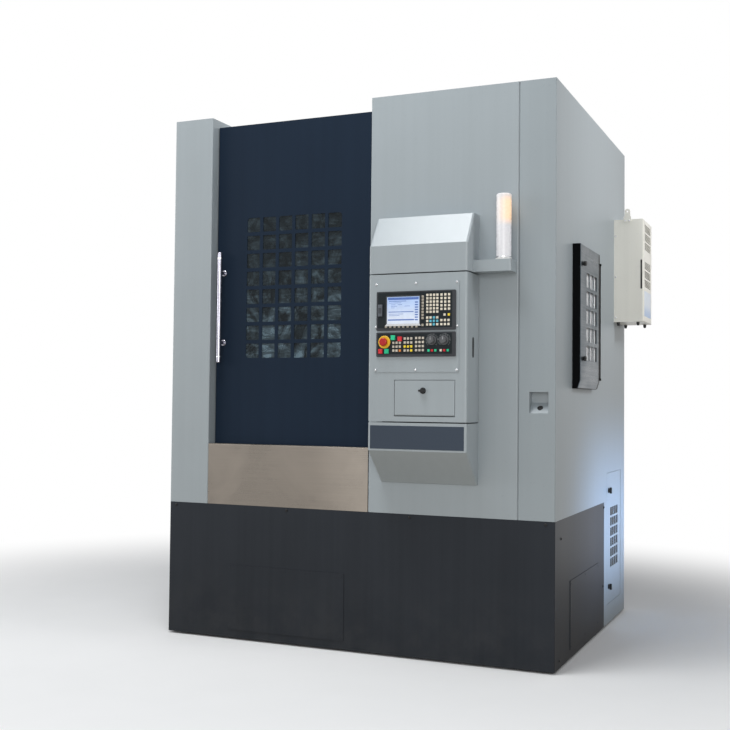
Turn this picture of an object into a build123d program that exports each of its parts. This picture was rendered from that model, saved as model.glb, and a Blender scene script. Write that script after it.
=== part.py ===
"""Vertical turning lathe in a full sheet-metal enclosure.

Millimetres, +Z up, front towards -Y. The origin lies on the floor in the middle of the
anchor bolts, and the spindle's axis crosses X = 0.
"""
import os
from math import cos, radians, sin

from build123d import *

os.makedirs("parts", exist_ok=True)

# Enclosure
enclosure_width = 2200
enclosure_depth = 1820
enclosure_height = 2900
spindle_from_left = 730
middle_from_front = 900
sheet = 3
bend = 6
seam = 2
plinth_height = 733
skirt_gap = 12
corner_return = 109
cabinet_width = 985
cabinet_edge_return = 57
cabinet_seam_from_right = 186
seam_return = 20
pillar_width = 244
pillar_depth = 198
pillar_drop = 12
apron_height = 333
apron_flange = 56
apron_lip = 20
roof_step = 57

# Clearances
running_gap = 0.3
pivot_gap = 0.05
overrun = 10

# Inspection covers on the skirts
cover_length = 700
cover_height = 350
cover_bottom = 55
front_cover_from_left = 382
side_cover_from_front = 319
cover_corner = 5

# Rear ventilation
rear_slot_length = 160
rear_slot_height = 10
rear_slot_columns = 2
rear_slot_rows = 8
rear_slot_pitch = 24
rear_slot_from_right = 400
rear_slot_from_top = 330

# Access panels on the rear and left walls
access_thickness = 3
access_corner = 12
access_margin = 90
access_above_plinth = 87
rear_access_top_margin = 620

# Floor pads, bed and anchor bolts
pad_height = 40
pad_radius = 65
anchor_radius = 11
anchor_spacing_x = 1200
bed_below_plinth = 3
bed_cell = 250
bed_rib = 30
bed_cells = 5
bed_top_plate = 90
lug_width = 170
lug_depth = 140
lug_height = 60
spindle_boss_bottom = 300

# Spindle, chuck and drive
spindle_bore_radius = 90
bearing_length = 80
shaft_waist_radius = 80
shaft_tail_radius = 55
nose_radius = 140
nose_height = 30
nose_rise = 40
spindle_pulley_radius = 105
motor_pulley_radius = 55
pulley_bottom = 130
pulley_height = 100
pulley_web_radius = 70
pulley_recess = 30
belt_thickness = 8
belt_height = 70
belt_slot_height = 220
belt_slot_width = 240
chuck_radius = 280
chuck_height = 190
chuck_bore_radius = 60
chuck_chamfer = 8
jaw_count = 3
jaw_slot_width = 40
jaw_slot_lip = 24
jaw_key_width = 64
jaw_key_height = 16
jaw_slot_inner = 90
jaw_inner = 120
jaw_outer = 255
jaw_step_inner = 180
jaw_width = 60
jaw_step_height = 36
jaw_height = 75

# Spindle motor on its shelf
motor_from_spindle = 930
shelf_thickness = 40
shelf_bottom = 300
shelf_width = 320
shelf_reach = 170
shelf_hole_radius = 70
gusset_drop = 170
gusset_reach = 280
gusset_thickness = 20
motor_flange = 260
motor_flange_thickness = 20
motor_body_radius = 112
motor_body_height = 270
motor_fan_radius = 125
motor_fan_height = 60
motor_fins = 20
motor_fin_width = 6
motor_fin_height = 12
motor_shaft_radius = 24
motor_shaft_seat = 30
terminal_box_width = 130
terminal_box_depth = 60
terminal_box_height = 110

# Chip tray and chamber wall
tray_hole_radius = 300
tray_collar_height = 40
tray_column_gap = 5
chamber_wall_gap = 50
pocket_wall_setback = 120
pocket_wall_inset = 10
wall_notch_depth = 55
wall_notch_height = 152
servo_cutout = 190

# Column, saddle, ram and their screws
column_left = -300
column_width = 950
column_front = 130
column_depth = 520
column_roof_gap = 243
column_side_wall = 25
column_end_wall = 20
column_upright_rib = 35
column_level_rib = 30
column_cell_columns = 3
column_cell_rows = 6
column_cell_depth = 400
column_corner = 30
way_height = 90
way_depth = 45
upper_way_from_top = 300
way_spacing = 700
screw_radius = 20
journal_radius = 17
screw_inset = 32
screw_pocket_depth = 65
screw_pocket_width = 100
screw_end_wall = 50
screw_end_recess = 10
nut_length = 120
nut_width = 80
nut_reach = 55
home_from_column_right = 280
saddle_width = 450
saddle_below_way = 220
saddle_above_way = 230
saddle_lap = 30
saddle_thickness = 135
ram_way_width = 70
ram_way_depth = 40
ram_way_spacing = 300
ram_width = 420
ram_from_saddle_top = 60
ram_height = 600
ram_thickness = 145
ram_lap = 15
ram_corner = 25
servo_size = 150
servo_flange_thickness = 18
servo_length = 240
servo_cap_length = 50
servo_cap_inset = 12
servo_corner = 12
servo_shaft_seat = 20

# Turret and tools
turret_apothem = 180
turret_thickness = 120
turret_above_ram_bottom = 120
turret_station_count = 8
turret_boss_radius = 130
turret_shaft_radius = 40
turret_shaft_length = 100
turret_cap_radius = 90
turret_cap_height = 25
turret_chamfer = 6
tool_block_height = 50
tool_block_width = 90
tool_block_depth = 100
tool_shank = 32
tool_reach = 55

# Front door and its rails
door_setback = 62
door_thickness = 40
door_top_drop = 54
door_side_gap = 4
door_cabinet_overlap = 20
door_apron_overlap = 26
door_foot_notch = 32
window_columns = 6
window_rows = 8
cell_size = 80
cell_pitch = 100
cell_corner = 4
window_corner = 18
window_mid_from_top = 916
pane_margin = 22
pane_thickness = 8
handle_length = 618
handle_mid_from_top = 1024
handle_radius = 13
handle_from_edge = 45
handle_standoff = 47
handle_rounding = 6
post_radius = 10
post_spacing = 390
rail_depth = 26
rail_height = 50
rail_top_drop = 36
rail_behind_door = 10
hanger_width = 90
hanger_from_end = 160
hanger_wall = 10
hanger_cap = 24
hanger_drop = 60
hanger_hook = 32
guide_thickness = 14
guide_height = 45
guide_setback = 13
guide_below_apron = 6

# Operator console
console_width = 522
console_from_right = 389
console_depth = 184
console_clear = 4
console_corner = 12
chin_above_plinth = 469
console_opening = 745
console_gap = 6
pivot_inset = 20
pivot_pin_radius = 8
pivot_pin_reach = 4
hood_face = 140
hood_rise = 156
hood_slope = 100
chin_face = 140
chin_drop = 167
chin_foot = 12
plate_left = 32
plate_width = 448
plate_above_box = 245
plate_height = 450
plate_overlap = 12
plate_corner = 8
panel_left = 16
panel_width = 417
panel_bezel = 8
panel_corner = 5
panel_housing_inset = 14
panel_housing_depth = 50
panel_fit = 0.5
display_bottom = 206
display_height = 195
machine_bottom = 76
machine_height = 121
key_size = 11
key_height = 1.6
big_key_size = 20
big_key_height = 5
screen_recess = 2
drive_cover_height = 5
flap_left = 145
flap_width = 314
flap_height = 176
flap_above_box = 28
flap_gap = 2.5
flap_depth = 18
flap_pin_radius = 3
flap_pin_length = 6
flap_lug_size = 16
grip_length = 94
grip_width = 20
grip_from_front = 91
grip_above_box = 368
flap_lug_width = 12
latch_from_left = 150
latch_from_top = 51
latch_shaft_radius = 6
latch_disc_radius = 12.5
latch_disc_height = 7
latch_bar_length = 36
latch_bar_width = 11
latch_bar_height = 13
latch_cam_length = 36
latch_cam_width = 14
latch_cam_thickness = 3
latch_cam_setback = 4

# Shares of the display unit's width and height, from its lower left corner
screen_shares = (0.134, 0.165, 0.551, 0.864)
drive_cover_shares = (0.018, 0.360, 0.083, 0.680)
display_key_shares = (
    (0.592, 0.304, 0.592, 0.848, 1, 8),
    (0.592, 0.130, 0.592, 0.130, 1, 1),
    (0.125, 0.100, 0.515, 0.100, 8, 1),
    (0.650, 0.457, 0.775, 0.883, 4, 6),
    (0.826, 0.522, 0.920, 0.883, 3, 5),
    (0.866, 0.378, 0.918, 0.378, 2, 1),
    (0.650, 0.139, 0.775, 0.313, 4, 3),
    (0.826, 0.139, 0.915, 0.240, 3, 2),
)
# Shares of the machine panel's width and height
machine_key_shares = (
    (0.223, 0.252, 0.306, 0.571, 3, 3),
    (0.368, 0.252, 0.451, 0.741, 3, 4),
    (0.513, 0.258, 0.598, 0.755, 3, 4),
    (0.670, 0.245, 0.754, 0.245, 3, 1),
    (0.821, 0.245, 0.908, 0.245, 3, 1),
)
machine_big_key_shares = ((0.216, 0.782), (0.304, 0.728), (0.056, 0.225), (0.134, 0.225))
stop_button_share = (0.107, 0.605)
feed_knob_share = (0.710, 0.660)
speed_knob_share = (0.862, 0.660)

# Emergency stop and rotary switches
stop_collar_radius = 31
stop_collar_height = 4
stop_head_radius = 20
stop_head_height = 14
stop_head_rounding = 6
stop_travel_room = 8
stop_shaft_radius = 11
stop_shaft_length = 30
knob_skirt_radius = 24
knob_skirt_height = 5
knob_radius = 18
knob_height = 20
knob_grips = 12
knob_grip_radius = 3
knob_shaft_radius = 5
knob_shaft_length = 20

# Tower light
bracket_length = 194
bracket_depth = 109
bracket_height = 58
lamp_from_bracket_end = 50
lamp_from_cabinet = 62
lamp_base_radius = 40
lamp_base_height = 10
lamp_radius = 37
lamp_height = 316
lamp_dome = 7

# Holder recess in the corner sheet
recess_from_right = 130
recess_width = 95
recess_above_plinth = 523
recess_height = 104
recess_depth = 50
recess_wall = 2
recess_slope_height = 52
recess_hole_radius = 12

# Service compartment, its door and locks
service_from_back = 636
service_height = 1098
service_inset = 460
service_door_from_back = 126
service_door_width = 432
service_door_bottom = 124
service_door_height = 774
service_door_gap = 2
service_door_thickness = 20
service_pin_radius = 5
service_pin_length = 8
service_lug_size = 26
service_lug_height = 12
vent_columns = 4
vent_rows = 6
vent_width = 50
vent_height = 50
vent_pitch_y = 61
vent_pitch_z = 61
vent_from_hinge = 210
vent_mid_height = 510
lock_from_edge = 53
lower_lock_height = 226
upper_lock_height = 793

# Filter box on the right wall
filter_from_front = 354
filter_length = 482
filter_above_plinth = 651
filter_height = 748
filter_depth = 40
filter_lip_height = 45
filter_lip_slope = 16
filter_lip_room = 3
filter_cover_inset = 2
filter_slot_columns = 3
filter_slot_rows = 5
filter_slot_width = 74
filter_slot_height = 76
filter_slot_pitch_y = 92
filter_slot_pitch_z = 96
filter_slot_from_front = 269
filter_slot_above_bottom = 380
filter_barrel_radius = 5
filter_barrel_behind = 7
filter_barrel_inset = 62
filter_pin_radius = 2.5
filter_ear_height = 12
filter_ear_room = 6
mat_recess = 6
mat_border = 18

# Cooling unit on the right wall
cooler_from_front = 1471
cooler_width = 303
cooler_from_top = 470
cooler_height = 625
cooler_case_depth = 160
cooler_front_depth = 17
cooler_corner = 8
grille_margin = 44
grille_panels = 3
grille_panel_height = 46
grille_panel_pitch = 55
grille_slats = 5
grille_slat_gap = 6
grille_depth = 9
upper_grille_from_top = 107
lower_grille_from_top = 334
lug_eye_radius = 11
lug_eye_wire = 11
lug_plate_width = 44
lug_plate_height = 34
lug_plate_thickness = 5
lug_from_wall = 81
lug_stem = 20

# Derived places
x_left = -spindle_from_left
x_right = x_left + enclosure_width
y_front = -middle_from_front
y_back = y_front + enclosure_depth
cabinet_left = x_right - cabinet_width
cabinet_seam = x_right - cabinet_seam_from_right
pillar_inner = x_left + pillar_width
apron_top = plinth_height + apron_height
access_bottom = plinth_height + access_above_plinth
roof_under = enclosure_height - sheet
chamber_roof = enclosure_height - roof_step
wall_top = enclosure_height - pillar_drop
bed_pitch = bed_cell + bed_rib
bed_size = bed_cells * bed_pitch + bed_rib
bed_top = plinth_height - bed_below_plinth
bed_height = bed_top - pad_height
anchor_spacing_y = bed_size + lug_depth
spindle_y = -bed_pitch
chuck_bottom = bed_top + nose_rise + nose_height
chuck_top = chuck_bottom + chuck_height
door_front = y_front + door_setback
door_back = door_front + door_thickness
door_left = pillar_inner + door_side_gap
door_right = cabinet_left + door_cabinet_overlap
door_top = enclosure_height - door_top_drop
door_bottom = apron_top - door_apron_overlap
window_mid_height = door_top - window_mid_from_top
handle_mid_height = door_top - handle_mid_from_top
rail_front = door_back + rail_behind_door
rail_top = door_top - rail_top_drop
console_left = x_right - console_from_right - console_width
console_right = x_right - console_from_right
console_front = y_front - console_depth
console_rear = y_front - console_clear
chin_top = plinth_height + chin_above_plinth
hood_bottom = chin_top + console_opening
box_bottom = chin_top + console_gap
box_top = hood_bottom - console_gap
pivot_x = console_left + pivot_inset
pivot_y = console_rear - pivot_inset
plate_front = console_front - sheet
plate_bottom = box_bottom + plate_above_box
grip_mid = box_bottom + grip_above_box
panel_front = plate_front - panel_bezel
panel_x = console_left + plate_left + panel_left
display_z = plate_bottom + display_bottom
machine_z = plate_bottom + machine_bottom
flap_x = console_left + flap_left
flap_z = box_bottom + flap_above_box
flap_pin_y = console_front + flap_depth / 2
flap_pin_z = flap_z + flap_depth / 2
recess_bottom = plinth_height + recess_above_plinth
service_front = y_back - service_from_back
service_door_rear = y_back - service_door_from_back
service_door_front = service_door_rear - service_door_width
column_right = column_left + column_width
chamber_wall_from_spindle = column_right + chamber_wall_gap
home_x = column_right - home_from_column_right
column_mid_x = column_left + column_width / 2
column_top = chamber_roof - column_roof_gap
column_height = column_top - bed_top
column_cell_pitch_x = (column_width - 2 * column_side_wall) / column_cell_columns
column_cell_pitch_z = (column_height - 2 * column_end_wall) / column_cell_rows
upper_way_height = column_top - upper_way_from_top
lower_way_height = upper_way_height - way_spacing
x_screw_y = column_front + screw_inset
x_screw_z = (lower_way_height + upper_way_height) / 2
way_face = column_front - way_depth
saddle_back = way_face + saddle_lap
saddle_face = saddle_back - saddle_thickness
saddle_bottom = lower_way_height - saddle_below_way
saddle_top = upper_way_height + saddle_above_way
saddle_height = saddle_top - saddle_bottom
saddle_mid_z = (saddle_bottom + saddle_top) / 2
z_screw_y = saddle_face + screw_inset
ram_back = saddle_face - ram_way_depth + ram_lap
ram_face = ram_back - ram_thickness
ram_bottom = saddle_top - ram_from_saddle_top - ram_height
ram_mid_z = ram_bottom + ram_height / 2
turret_z = ram_bottom + turret_above_ram_bottom
turret_front = spindle_y - turret_thickness / 2
turret_back = spindle_y + turret_thickness / 2
filter_front = y_front + filter_from_front
filter_rear = filter_front + filter_length
filter_bottom = plinth_height + filter_above_plinth
filter_slot_mid = filter_bottom + filter_slot_above_bottom
filter_top = filter_bottom + filter_height
filter_face = x_right + filter_depth
filter_hinge_x = filter_face + running_gap + sheet / 2
filter_hinge_y = filter_rear + filter_barrel_behind
cooler_front = y_front + cooler_from_front
cooler_bottom = enclosure_height - cooler_from_top - cooler_height
low_corner = (Align.MIN, Align.MIN)


def level(height):
    """Horizontal plane at a height above the floor."""
    return Plane.XY.offset(height)


def facing_front(y):
    """Upright plane across the machine at a depth y: sketch X is X, sketch Y is Z, normal -Y."""
    return Plane.XZ.offset(-y)


def facing_right(x):
    """Upright plane along the machine at a place x: sketch X is Y, sketch Y is Z, normal +X."""
    return Plane.YZ.offset(x)


def fold_section(corners, side=Side.LEFT):
    """Section of a folded sheet: the line through its corners, rounded at each bend, one sheet thick."""
    with BuildSketch() as section:
        with BuildLine():
            FilletPolyline(*corners, radius=bend)
            offset(amount=sheet, side=side)
        make_face()
    return section.sketch


def outline(*corners):
    """Flat face inside straight lines through the corners."""
    with BuildSketch() as section:
        with BuildLine():
            Polyline(*corners, close=True)
        make_face()
    return section.sketch


def key_centres(table, left, bottom, width, height):
    """Centres of the keys in each block of a table of shares: first key, last key, columns, rows."""
    centres = []
    for low_x, low_z, high_x, high_z, columns, rows in table:
        for column in range(columns):
            for row in range(rows):
                across = low_x + (high_x - low_x) * column / max(columns - 1, 1)
                up = low_z + (high_z - low_z) * row / max(rows - 1, 1)
                centres.append((left + width * across, bottom + height * up))
    return centres


# Levelling pads: six turned feet, the four corner ones bored for anchor bolts
with BuildPart() as levelling_pads:
    with BuildSketch(level(0)):
        with GridLocations(anchor_spacing_x / 2, anchor_spacing_y, 3, 2):
            Circle(pad_radius)
    extrude(amount=pad_height)
    with BuildSketch(level(0)):
        with GridLocations(anchor_spacing_x, anchor_spacing_y, 2, 2):
            Circle(anchor_radius)
    extrude(amount=pad_height, mode=Mode.SUBTRACT)
levelling_pads.part.label = "levelling_pads"
export_step(levelling_pads.part, "parts/levelling_pads.step")

# Bed casting: ribbed cells below, bored spindle boss, anchor lugs, belt passage, motor shelf
bed_half = bed_size / 2
shelf_end = motor_from_spindle + shelf_reach
with BuildPart() as bed_casting:
    with BuildSketch(level(pad_height)):
        Rectangle(bed_size, bed_size)
    extrude(amount=bed_height)
    with BuildSketch(level(pad_height)):
        with GridLocations(bed_pitch, bed_pitch, bed_cells, bed_cells):
            Rectangle(bed_cell, bed_cell)
    extrude(amount=bed_height - bed_top_plate, mode=Mode.SUBTRACT)
    with BuildSketch(level(spindle_boss_bottom)):
        with Locations((0, spindle_y)):
            Rectangle(bed_cell, bed_cell)
    extrude(amount=bed_top - spindle_boss_bottom)
    with BuildSketch(level(spindle_boss_bottom)):
        with Locations((0, spindle_y)):
            Circle(spindle_bore_radius)
    extrude(amount=bed_top - spindle_boss_bottom, mode=Mode.SUBTRACT)
    with BuildSketch(level(pad_height)):
        with GridLocations(anchor_spacing_x / 2, anchor_spacing_y, 3, 2):
            Rectangle(lug_width, lug_depth)
    extrude(amount=lug_height)
    with BuildSketch(level(pad_height)):
        with GridLocations(anchor_spacing_x, anchor_spacing_y, 2, 2):
            Circle(anchor_radius)
    extrude(amount=lug_height, mode=Mode.SUBTRACT)
    with BuildSketch(level(shelf_bottom)):
        with Locations((bed_half, spindle_y)):
            Rectangle(shelf_end - bed_half, shelf_width, align=(Align.MIN, Align.CENTER))
        with Locations((motor_from_spindle, spindle_y)):
            Circle(shelf_hole_radius, mode=Mode.SUBTRACT)
    extrude(amount=shelf_thickness)
    for gusset_side in (spindle_y - shelf_width / 2 + gusset_thickness, spindle_y + shelf_width / 2):
        with BuildSketch(facing_front(gusset_side)):
            add(outline(
                (bed_half, shelf_bottom),
                (bed_half + gusset_reach, shelf_bottom),
                (bed_half, shelf_bottom - gusset_drop),
            ))
        extrude(amount=gusset_thickness)
    with BuildSketch(level(pad_height)):
        with Locations((0, spindle_y)):
            Rectangle(bed_half + overrun, belt_slot_width, align=(Align.MIN, Align.CENTER))
    extrude(amount=belt_slot_height, mode=Mode.SUBTRACT)
bed_casting.part.label = "bed_casting"
export_step(bed_casting.part, "parts/bed_casting.step")

# Spindle shaft with its nose flange, bearing seats and belt pulley, one turned profile
upper_seat = bed_top - bearing_length
lower_seat = spindle_boss_bottom + bearing_length
pulley_top = pulley_bottom + pulley_height
seat_radius = spindle_bore_radius - pivot_gap
with BuildPart() as spindle_shaft:
    with BuildSketch(Plane.XZ.offset(-spindle_y)):
        add(outline(
            (0, pulley_bottom),
            (spindle_pulley_radius, pulley_bottom),
            (spindle_pulley_radius, pulley_top),
            (pulley_web_radius, pulley_top),
            (pulley_web_radius, pulley_top - pulley_recess),
            (shaft_tail_radius, pulley_top - pulley_recess),
            (shaft_tail_radius, spindle_boss_bottom),
            (seat_radius, spindle_boss_bottom),
            (seat_radius, lower_seat),
            (shaft_waist_radius, lower_seat),
            (shaft_waist_radius, upper_seat),
            (seat_radius, upper_seat),
            (seat_radius, bed_top + nose_rise),
            (nose_radius, bed_top + nose_rise),
            (nose_radius, chuck_bottom),
            (0, chuck_bottom),
        ))
    revolve(axis=Axis((0, spindle_y, 0), (0, 0, 1)))
spindle_shaft.part.label = "spindle_shaft"
export_step(spindle_shaft.part, "parts/spindle_shaft.step")

# Chuck body with three radial T-slots and a through bore
jaw_planes = []
for jaw in range(jaw_count):
    turn = radians(90 + 360 * jaw / jaw_count)
    jaw_planes.append(
        Plane(
            origin=(0, spindle_y, chuck_top),
            x_dir=(-sin(turn), cos(turn), 0),
            z_dir=(cos(turn), sin(turn), 0),
        )
    )
slot_depth = jaw_slot_lip + jaw_key_height
with BuildPart() as chuck_body:
    with BuildSketch(level(chuck_bottom)):
        with Locations((0, spindle_y)):
            Circle(chuck_radius)
            Circle(chuck_bore_radius, mode=Mode.SUBTRACT)
    extrude(amount=chuck_height)
    rim_edges = chuck_body.edges().filter_by(GeomType.CIRCLE).filter_by(lambda e: e.radius == chuck_radius)
    chamfer(rim_edges, length=chuck_chamfer)
    for jaw_plane in jaw_planes:
        with BuildSketch(jaw_plane.offset(jaw_slot_inner)):
            Rectangle(jaw_slot_width, slot_depth, align=(Align.CENTER, Align.MAX))
            with Locations((0, -slot_depth)):
                Rectangle(jaw_key_width, jaw_key_height, align=(Align.CENTER, Align.MIN))
        extrude(amount=chuck_radius, mode=Mode.SUBTRACT)
chuck_body.part.label = "chuck_body"
export_step(chuck_body.part, "parts/chuck_body.step")

# Three stepped jaws keyed into the slots
key_gap = 2 * running_gap
for jaw, jaw_plane in enumerate(jaw_planes):
    with BuildPart() as jaw_piece:
        with BuildSketch(jaw_plane.offset(jaw_inner)):
            with Locations((0, running_gap - slot_depth)):
                Rectangle(jaw_key_width - key_gap, jaw_key_height - key_gap, align=(Align.CENTER, Align.MIN))
            with Locations((0, running_gap - slot_depth)):
                Rectangle(jaw_slot_width - key_gap, slot_depth, align=(Align.CENTER, Align.MIN))
            with Locations((0, running_gap)):
                Rectangle(jaw_width, jaw_step_height, align=(Align.CENTER, Align.MIN))
        extrude(amount=jaw_outer - jaw_inner)
        with BuildSketch(jaw_plane.offset(jaw_step_inner)):
            with Locations((0, running_gap)):
                Rectangle(jaw_width, jaw_height, align=(Align.CENTER, Align.MIN))
        extrude(amount=jaw_outer - jaw_step_inner)
    jaw_piece.part.label = f"jaw_{jaw + 1}"
    export_step(jaw_piece.part, f"parts/jaw_{jaw + 1}.step")

# Spindle motor: flange, finned body, fan cover and terminal box
motor_bottom = shelf_bottom + shelf_thickness
motor_body_bottom = motor_bottom + motor_flange_thickness
motor_body_top = motor_body_bottom + motor_body_height
with BuildPart() as spindle_motor:
    with BuildSketch(level(motor_bottom)):
        with Locations((motor_from_spindle, spindle_y)):
            RectangleRounded(motor_flange, motor_flange, servo_corner)
    extrude(amount=motor_flange_thickness)
    with BuildSketch(level(motor_body_bottom)):
        with Locations((motor_from_spindle, spindle_y)):
            Circle(motor_body_radius)
            with PolarLocations(motor_body_radius, motor_fins):
                Rectangle(2 * motor_fin_height, motor_fin_width)
    extrude(amount=motor_body_height)
    with BuildSketch(level(motor_body_top)):
        with Locations((motor_from_spindle, spindle_y)):
            Circle(motor_fan_radius)
    extrude(amount=motor_fan_height)
    with BuildSketch(level(motor_body_bottom + motor_body_height / 2)):
        with Locations((motor_from_spindle + motor_body_radius, spindle_y)):
            Rectangle(terminal_box_depth, terminal_box_width, align=(Align.MIN, Align.CENTER))
    extrude(amount=terminal_box_height)
    with BuildSketch(level(motor_bottom)):
        with Locations((motor_from_spindle, spindle_y)):
            Circle(motor_shaft_radius + pivot_gap)
    extrude(amount=motor_shaft_seat + running_gap, mode=Mode.SUBTRACT)
spindle_motor.part.label = "spindle_motor"
export_step(spindle_motor.part, "parts/spindle_motor.step")

# Motor pulley with the motor's shaft end
with BuildPart() as motor_pulley:
    with BuildSketch(level(pulley_bottom)):
        with Locations((motor_from_spindle, spindle_y)):
            Circle(motor_pulley_radius)
    extrude(amount=pulley_height)
    with BuildSketch(level(pulley_top)):
        with Locations((motor_from_spindle, spindle_y)):
            Circle(motor_shaft_radius)
    extrude(amount=motor_bottom + motor_shaft_seat - pulley_top)
motor_pulley.part.label = "motor_pulley"
export_step(motor_pulley.part, "parts/motor_pulley.step")

# Drive belt: a loop round both pulleys
with BuildPart() as drive_belt:
    with BuildSketch(level(pulley_bottom + (pulley_height - belt_height) / 2)):
        with BuildSketch(mode=Mode.PRIVATE) as loop_inside:
            with Locations((0, spindle_y)):
                Circle(spindle_pulley_radius + running_gap)
            with Locations((motor_from_spindle, spindle_y)):
                Circle(motor_pulley_radius + running_gap)
            make_hull()
        add(loop_inside.sketch)
        offset(amount=belt_thickness)
        add(loop_inside.sketch, mode=Mode.SUBTRACT)
    extrude(amount=belt_height)
drive_belt.part.label = "drive_belt"
export_step(drive_belt.part, "parts/drive_belt.step")

# Chip tray on the bed, with a collar round the chuck's hole
with BuildPart() as chip_tray:
    with BuildSketch(level(bed_top)) as tray_outline:
        with Locations((x_left + sheet, y_front + sheet)):
            Rectangle(
                chamber_wall_from_spindle - x_left - sheet,
                column_front - tray_column_gap - y_front - sheet,
                align=low_corner,
            )
        fillet(tray_outline.vertices().group_by(Axis.Y)[0], radius=bend)
        with Locations((0, spindle_y)):
            Circle(tray_hole_radius, mode=Mode.SUBTRACT)
    extrude(amount=sheet)
    with BuildSketch(level(bed_top)):
        with Locations((0, spindle_y)):
            Circle(tray_hole_radius + sheet)
            Circle(tray_hole_radius, mode=Mode.SUBTRACT)
    extrude(amount=tray_collar_height)
chip_tray.part.label = "chip_tray"
export_step(chip_tray.part, "parts/chip_tray.step")

# Chamber wall: folded sheet between the door's pocket, the work space and the cabinet
pocket_wall_y = y_front + pocket_wall_setback
with BuildPart() as chamber_wall:
    with BuildSketch(level(bed_top + sheet)):
        add(fold_section([
            (cabinet_left + pocket_wall_inset, pocket_wall_y),
            (chamber_wall_from_spindle, pocket_wall_y),
            (chamber_wall_from_spindle, y_back - sheet),
        ]))
    extrude(amount=roof_under - bed_top - sheet)
    with BuildSketch(level(roof_under - wall_notch_height)):
        with Locations((cabinet_left, pocket_wall_y - overrun)):
            Rectangle(chamber_wall_from_spindle, wall_notch_depth, align=low_corner)
    extrude(amount=wall_notch_height, mode=Mode.SUBTRACT)
    with BuildSketch(facing_right(chamber_wall_from_spindle - sheet)):
        with Locations((x_screw_y, x_screw_z)):
            Rectangle(servo_cutout, servo_cutout)
    extrude(amount=sheet, mode=Mode.SUBTRACT)
chamber_wall.part.label = "chamber_wall"
export_step(chamber_wall.part, "parts/chamber_wall.step")

# Column casting: cells at the rear, two level box ways and the X screw's pocket in front
with BuildPart() as column_casting:
    with BuildSketch(level(bed_top)):
        with Locations((column_left, column_front)):
            Rectangle(column_width, column_depth, align=low_corner)
    extrude(amount=column_height)
    fillet(column_casting.edges().filter_by(Axis.Z), radius=column_corner)
    with BuildSketch(facing_front(column_front + column_depth)):
        with Locations((column_mid_x, bed_top + column_height / 2)):
            with GridLocations(
                column_cell_pitch_x, column_cell_pitch_z, column_cell_columns, column_cell_rows
            ):
                Rectangle(
                    column_cell_pitch_x - column_upright_rib, column_cell_pitch_z - column_level_rib
                )
    extrude(amount=column_cell_depth, mode=Mode.SUBTRACT)
    with BuildSketch(facing_front(column_front + column_corner)):
        with Locations((column_mid_x, lower_way_height), (column_mid_x, upper_way_height)):
            Rectangle(column_width, way_height)
    extrude(amount=column_corner + way_depth)
    with BuildSketch(facing_front(column_front)):
        with Locations((column_mid_x, x_screw_z)):
            Rectangle(column_width - 2 * screw_end_wall, screw_pocket_width)
    extrude(amount=-screw_pocket_depth, mode=Mode.SUBTRACT)
    with BuildSketch(facing_right(column_left + screw_end_recess)):
        with Locations((x_screw_y, x_screw_z)):
            Circle(journal_radius + pivot_gap)
    extrude(amount=column_width, mode=Mode.SUBTRACT)
column_casting.part.label = "column_casting"
export_step(column_casting.part, "parts/column_casting.step")

# X ball screw between the pocket's end walls
screw_start = column_left + screw_end_wall + running_gap
screw_stop = column_right - screw_end_wall - running_gap
with BuildPart() as x_screw:
    with BuildSketch(facing_right(screw_start)):
        with Locations((x_screw_y, x_screw_z)):
            Circle(screw_radius)
    extrude(amount=screw_stop - screw_start)
    with BuildSketch(facing_right(column_left + screw_end_recess + running_gap)):
        with Locations((x_screw_y, x_screw_z)):
            Circle(journal_radius)
    extrude(amount=column_width - screw_end_recess + servo_shaft_seat - 2 * running_gap)
x_screw.part.label = "x_screw"
export_step(x_screw.part, "parts/x_screw.step")

# X servo motor on the column's right side
with BuildPart() as x_servo_motor:
    with BuildSketch(facing_right(column_right)):
        with Locations((x_screw_y, x_screw_z)):
            RectangleRounded(servo_size, servo_size, servo_corner)
    extrude(amount=servo_flange_thickness + servo_length)
    with BuildSketch(facing_right(column_right + servo_flange_thickness + servo_length)):
        with Locations((x_screw_y, x_screw_z)):
            RectangleRounded(servo_size - 2 * servo_cap_inset, servo_size - 2 * servo_cap_inset, servo_corner)
    extrude(amount=servo_cap_length)
    with BuildSketch(facing_right(column_right)):
        with Locations((x_screw_y, x_screw_z)):
            Circle(journal_radius + pivot_gap)
    extrude(amount=servo_shaft_seat, mode=Mode.SUBTRACT)
x_servo_motor.part.label = "x_servo_motor"
export_step(x_servo_motor.part, "parts/x_servo_motor.step")

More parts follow.
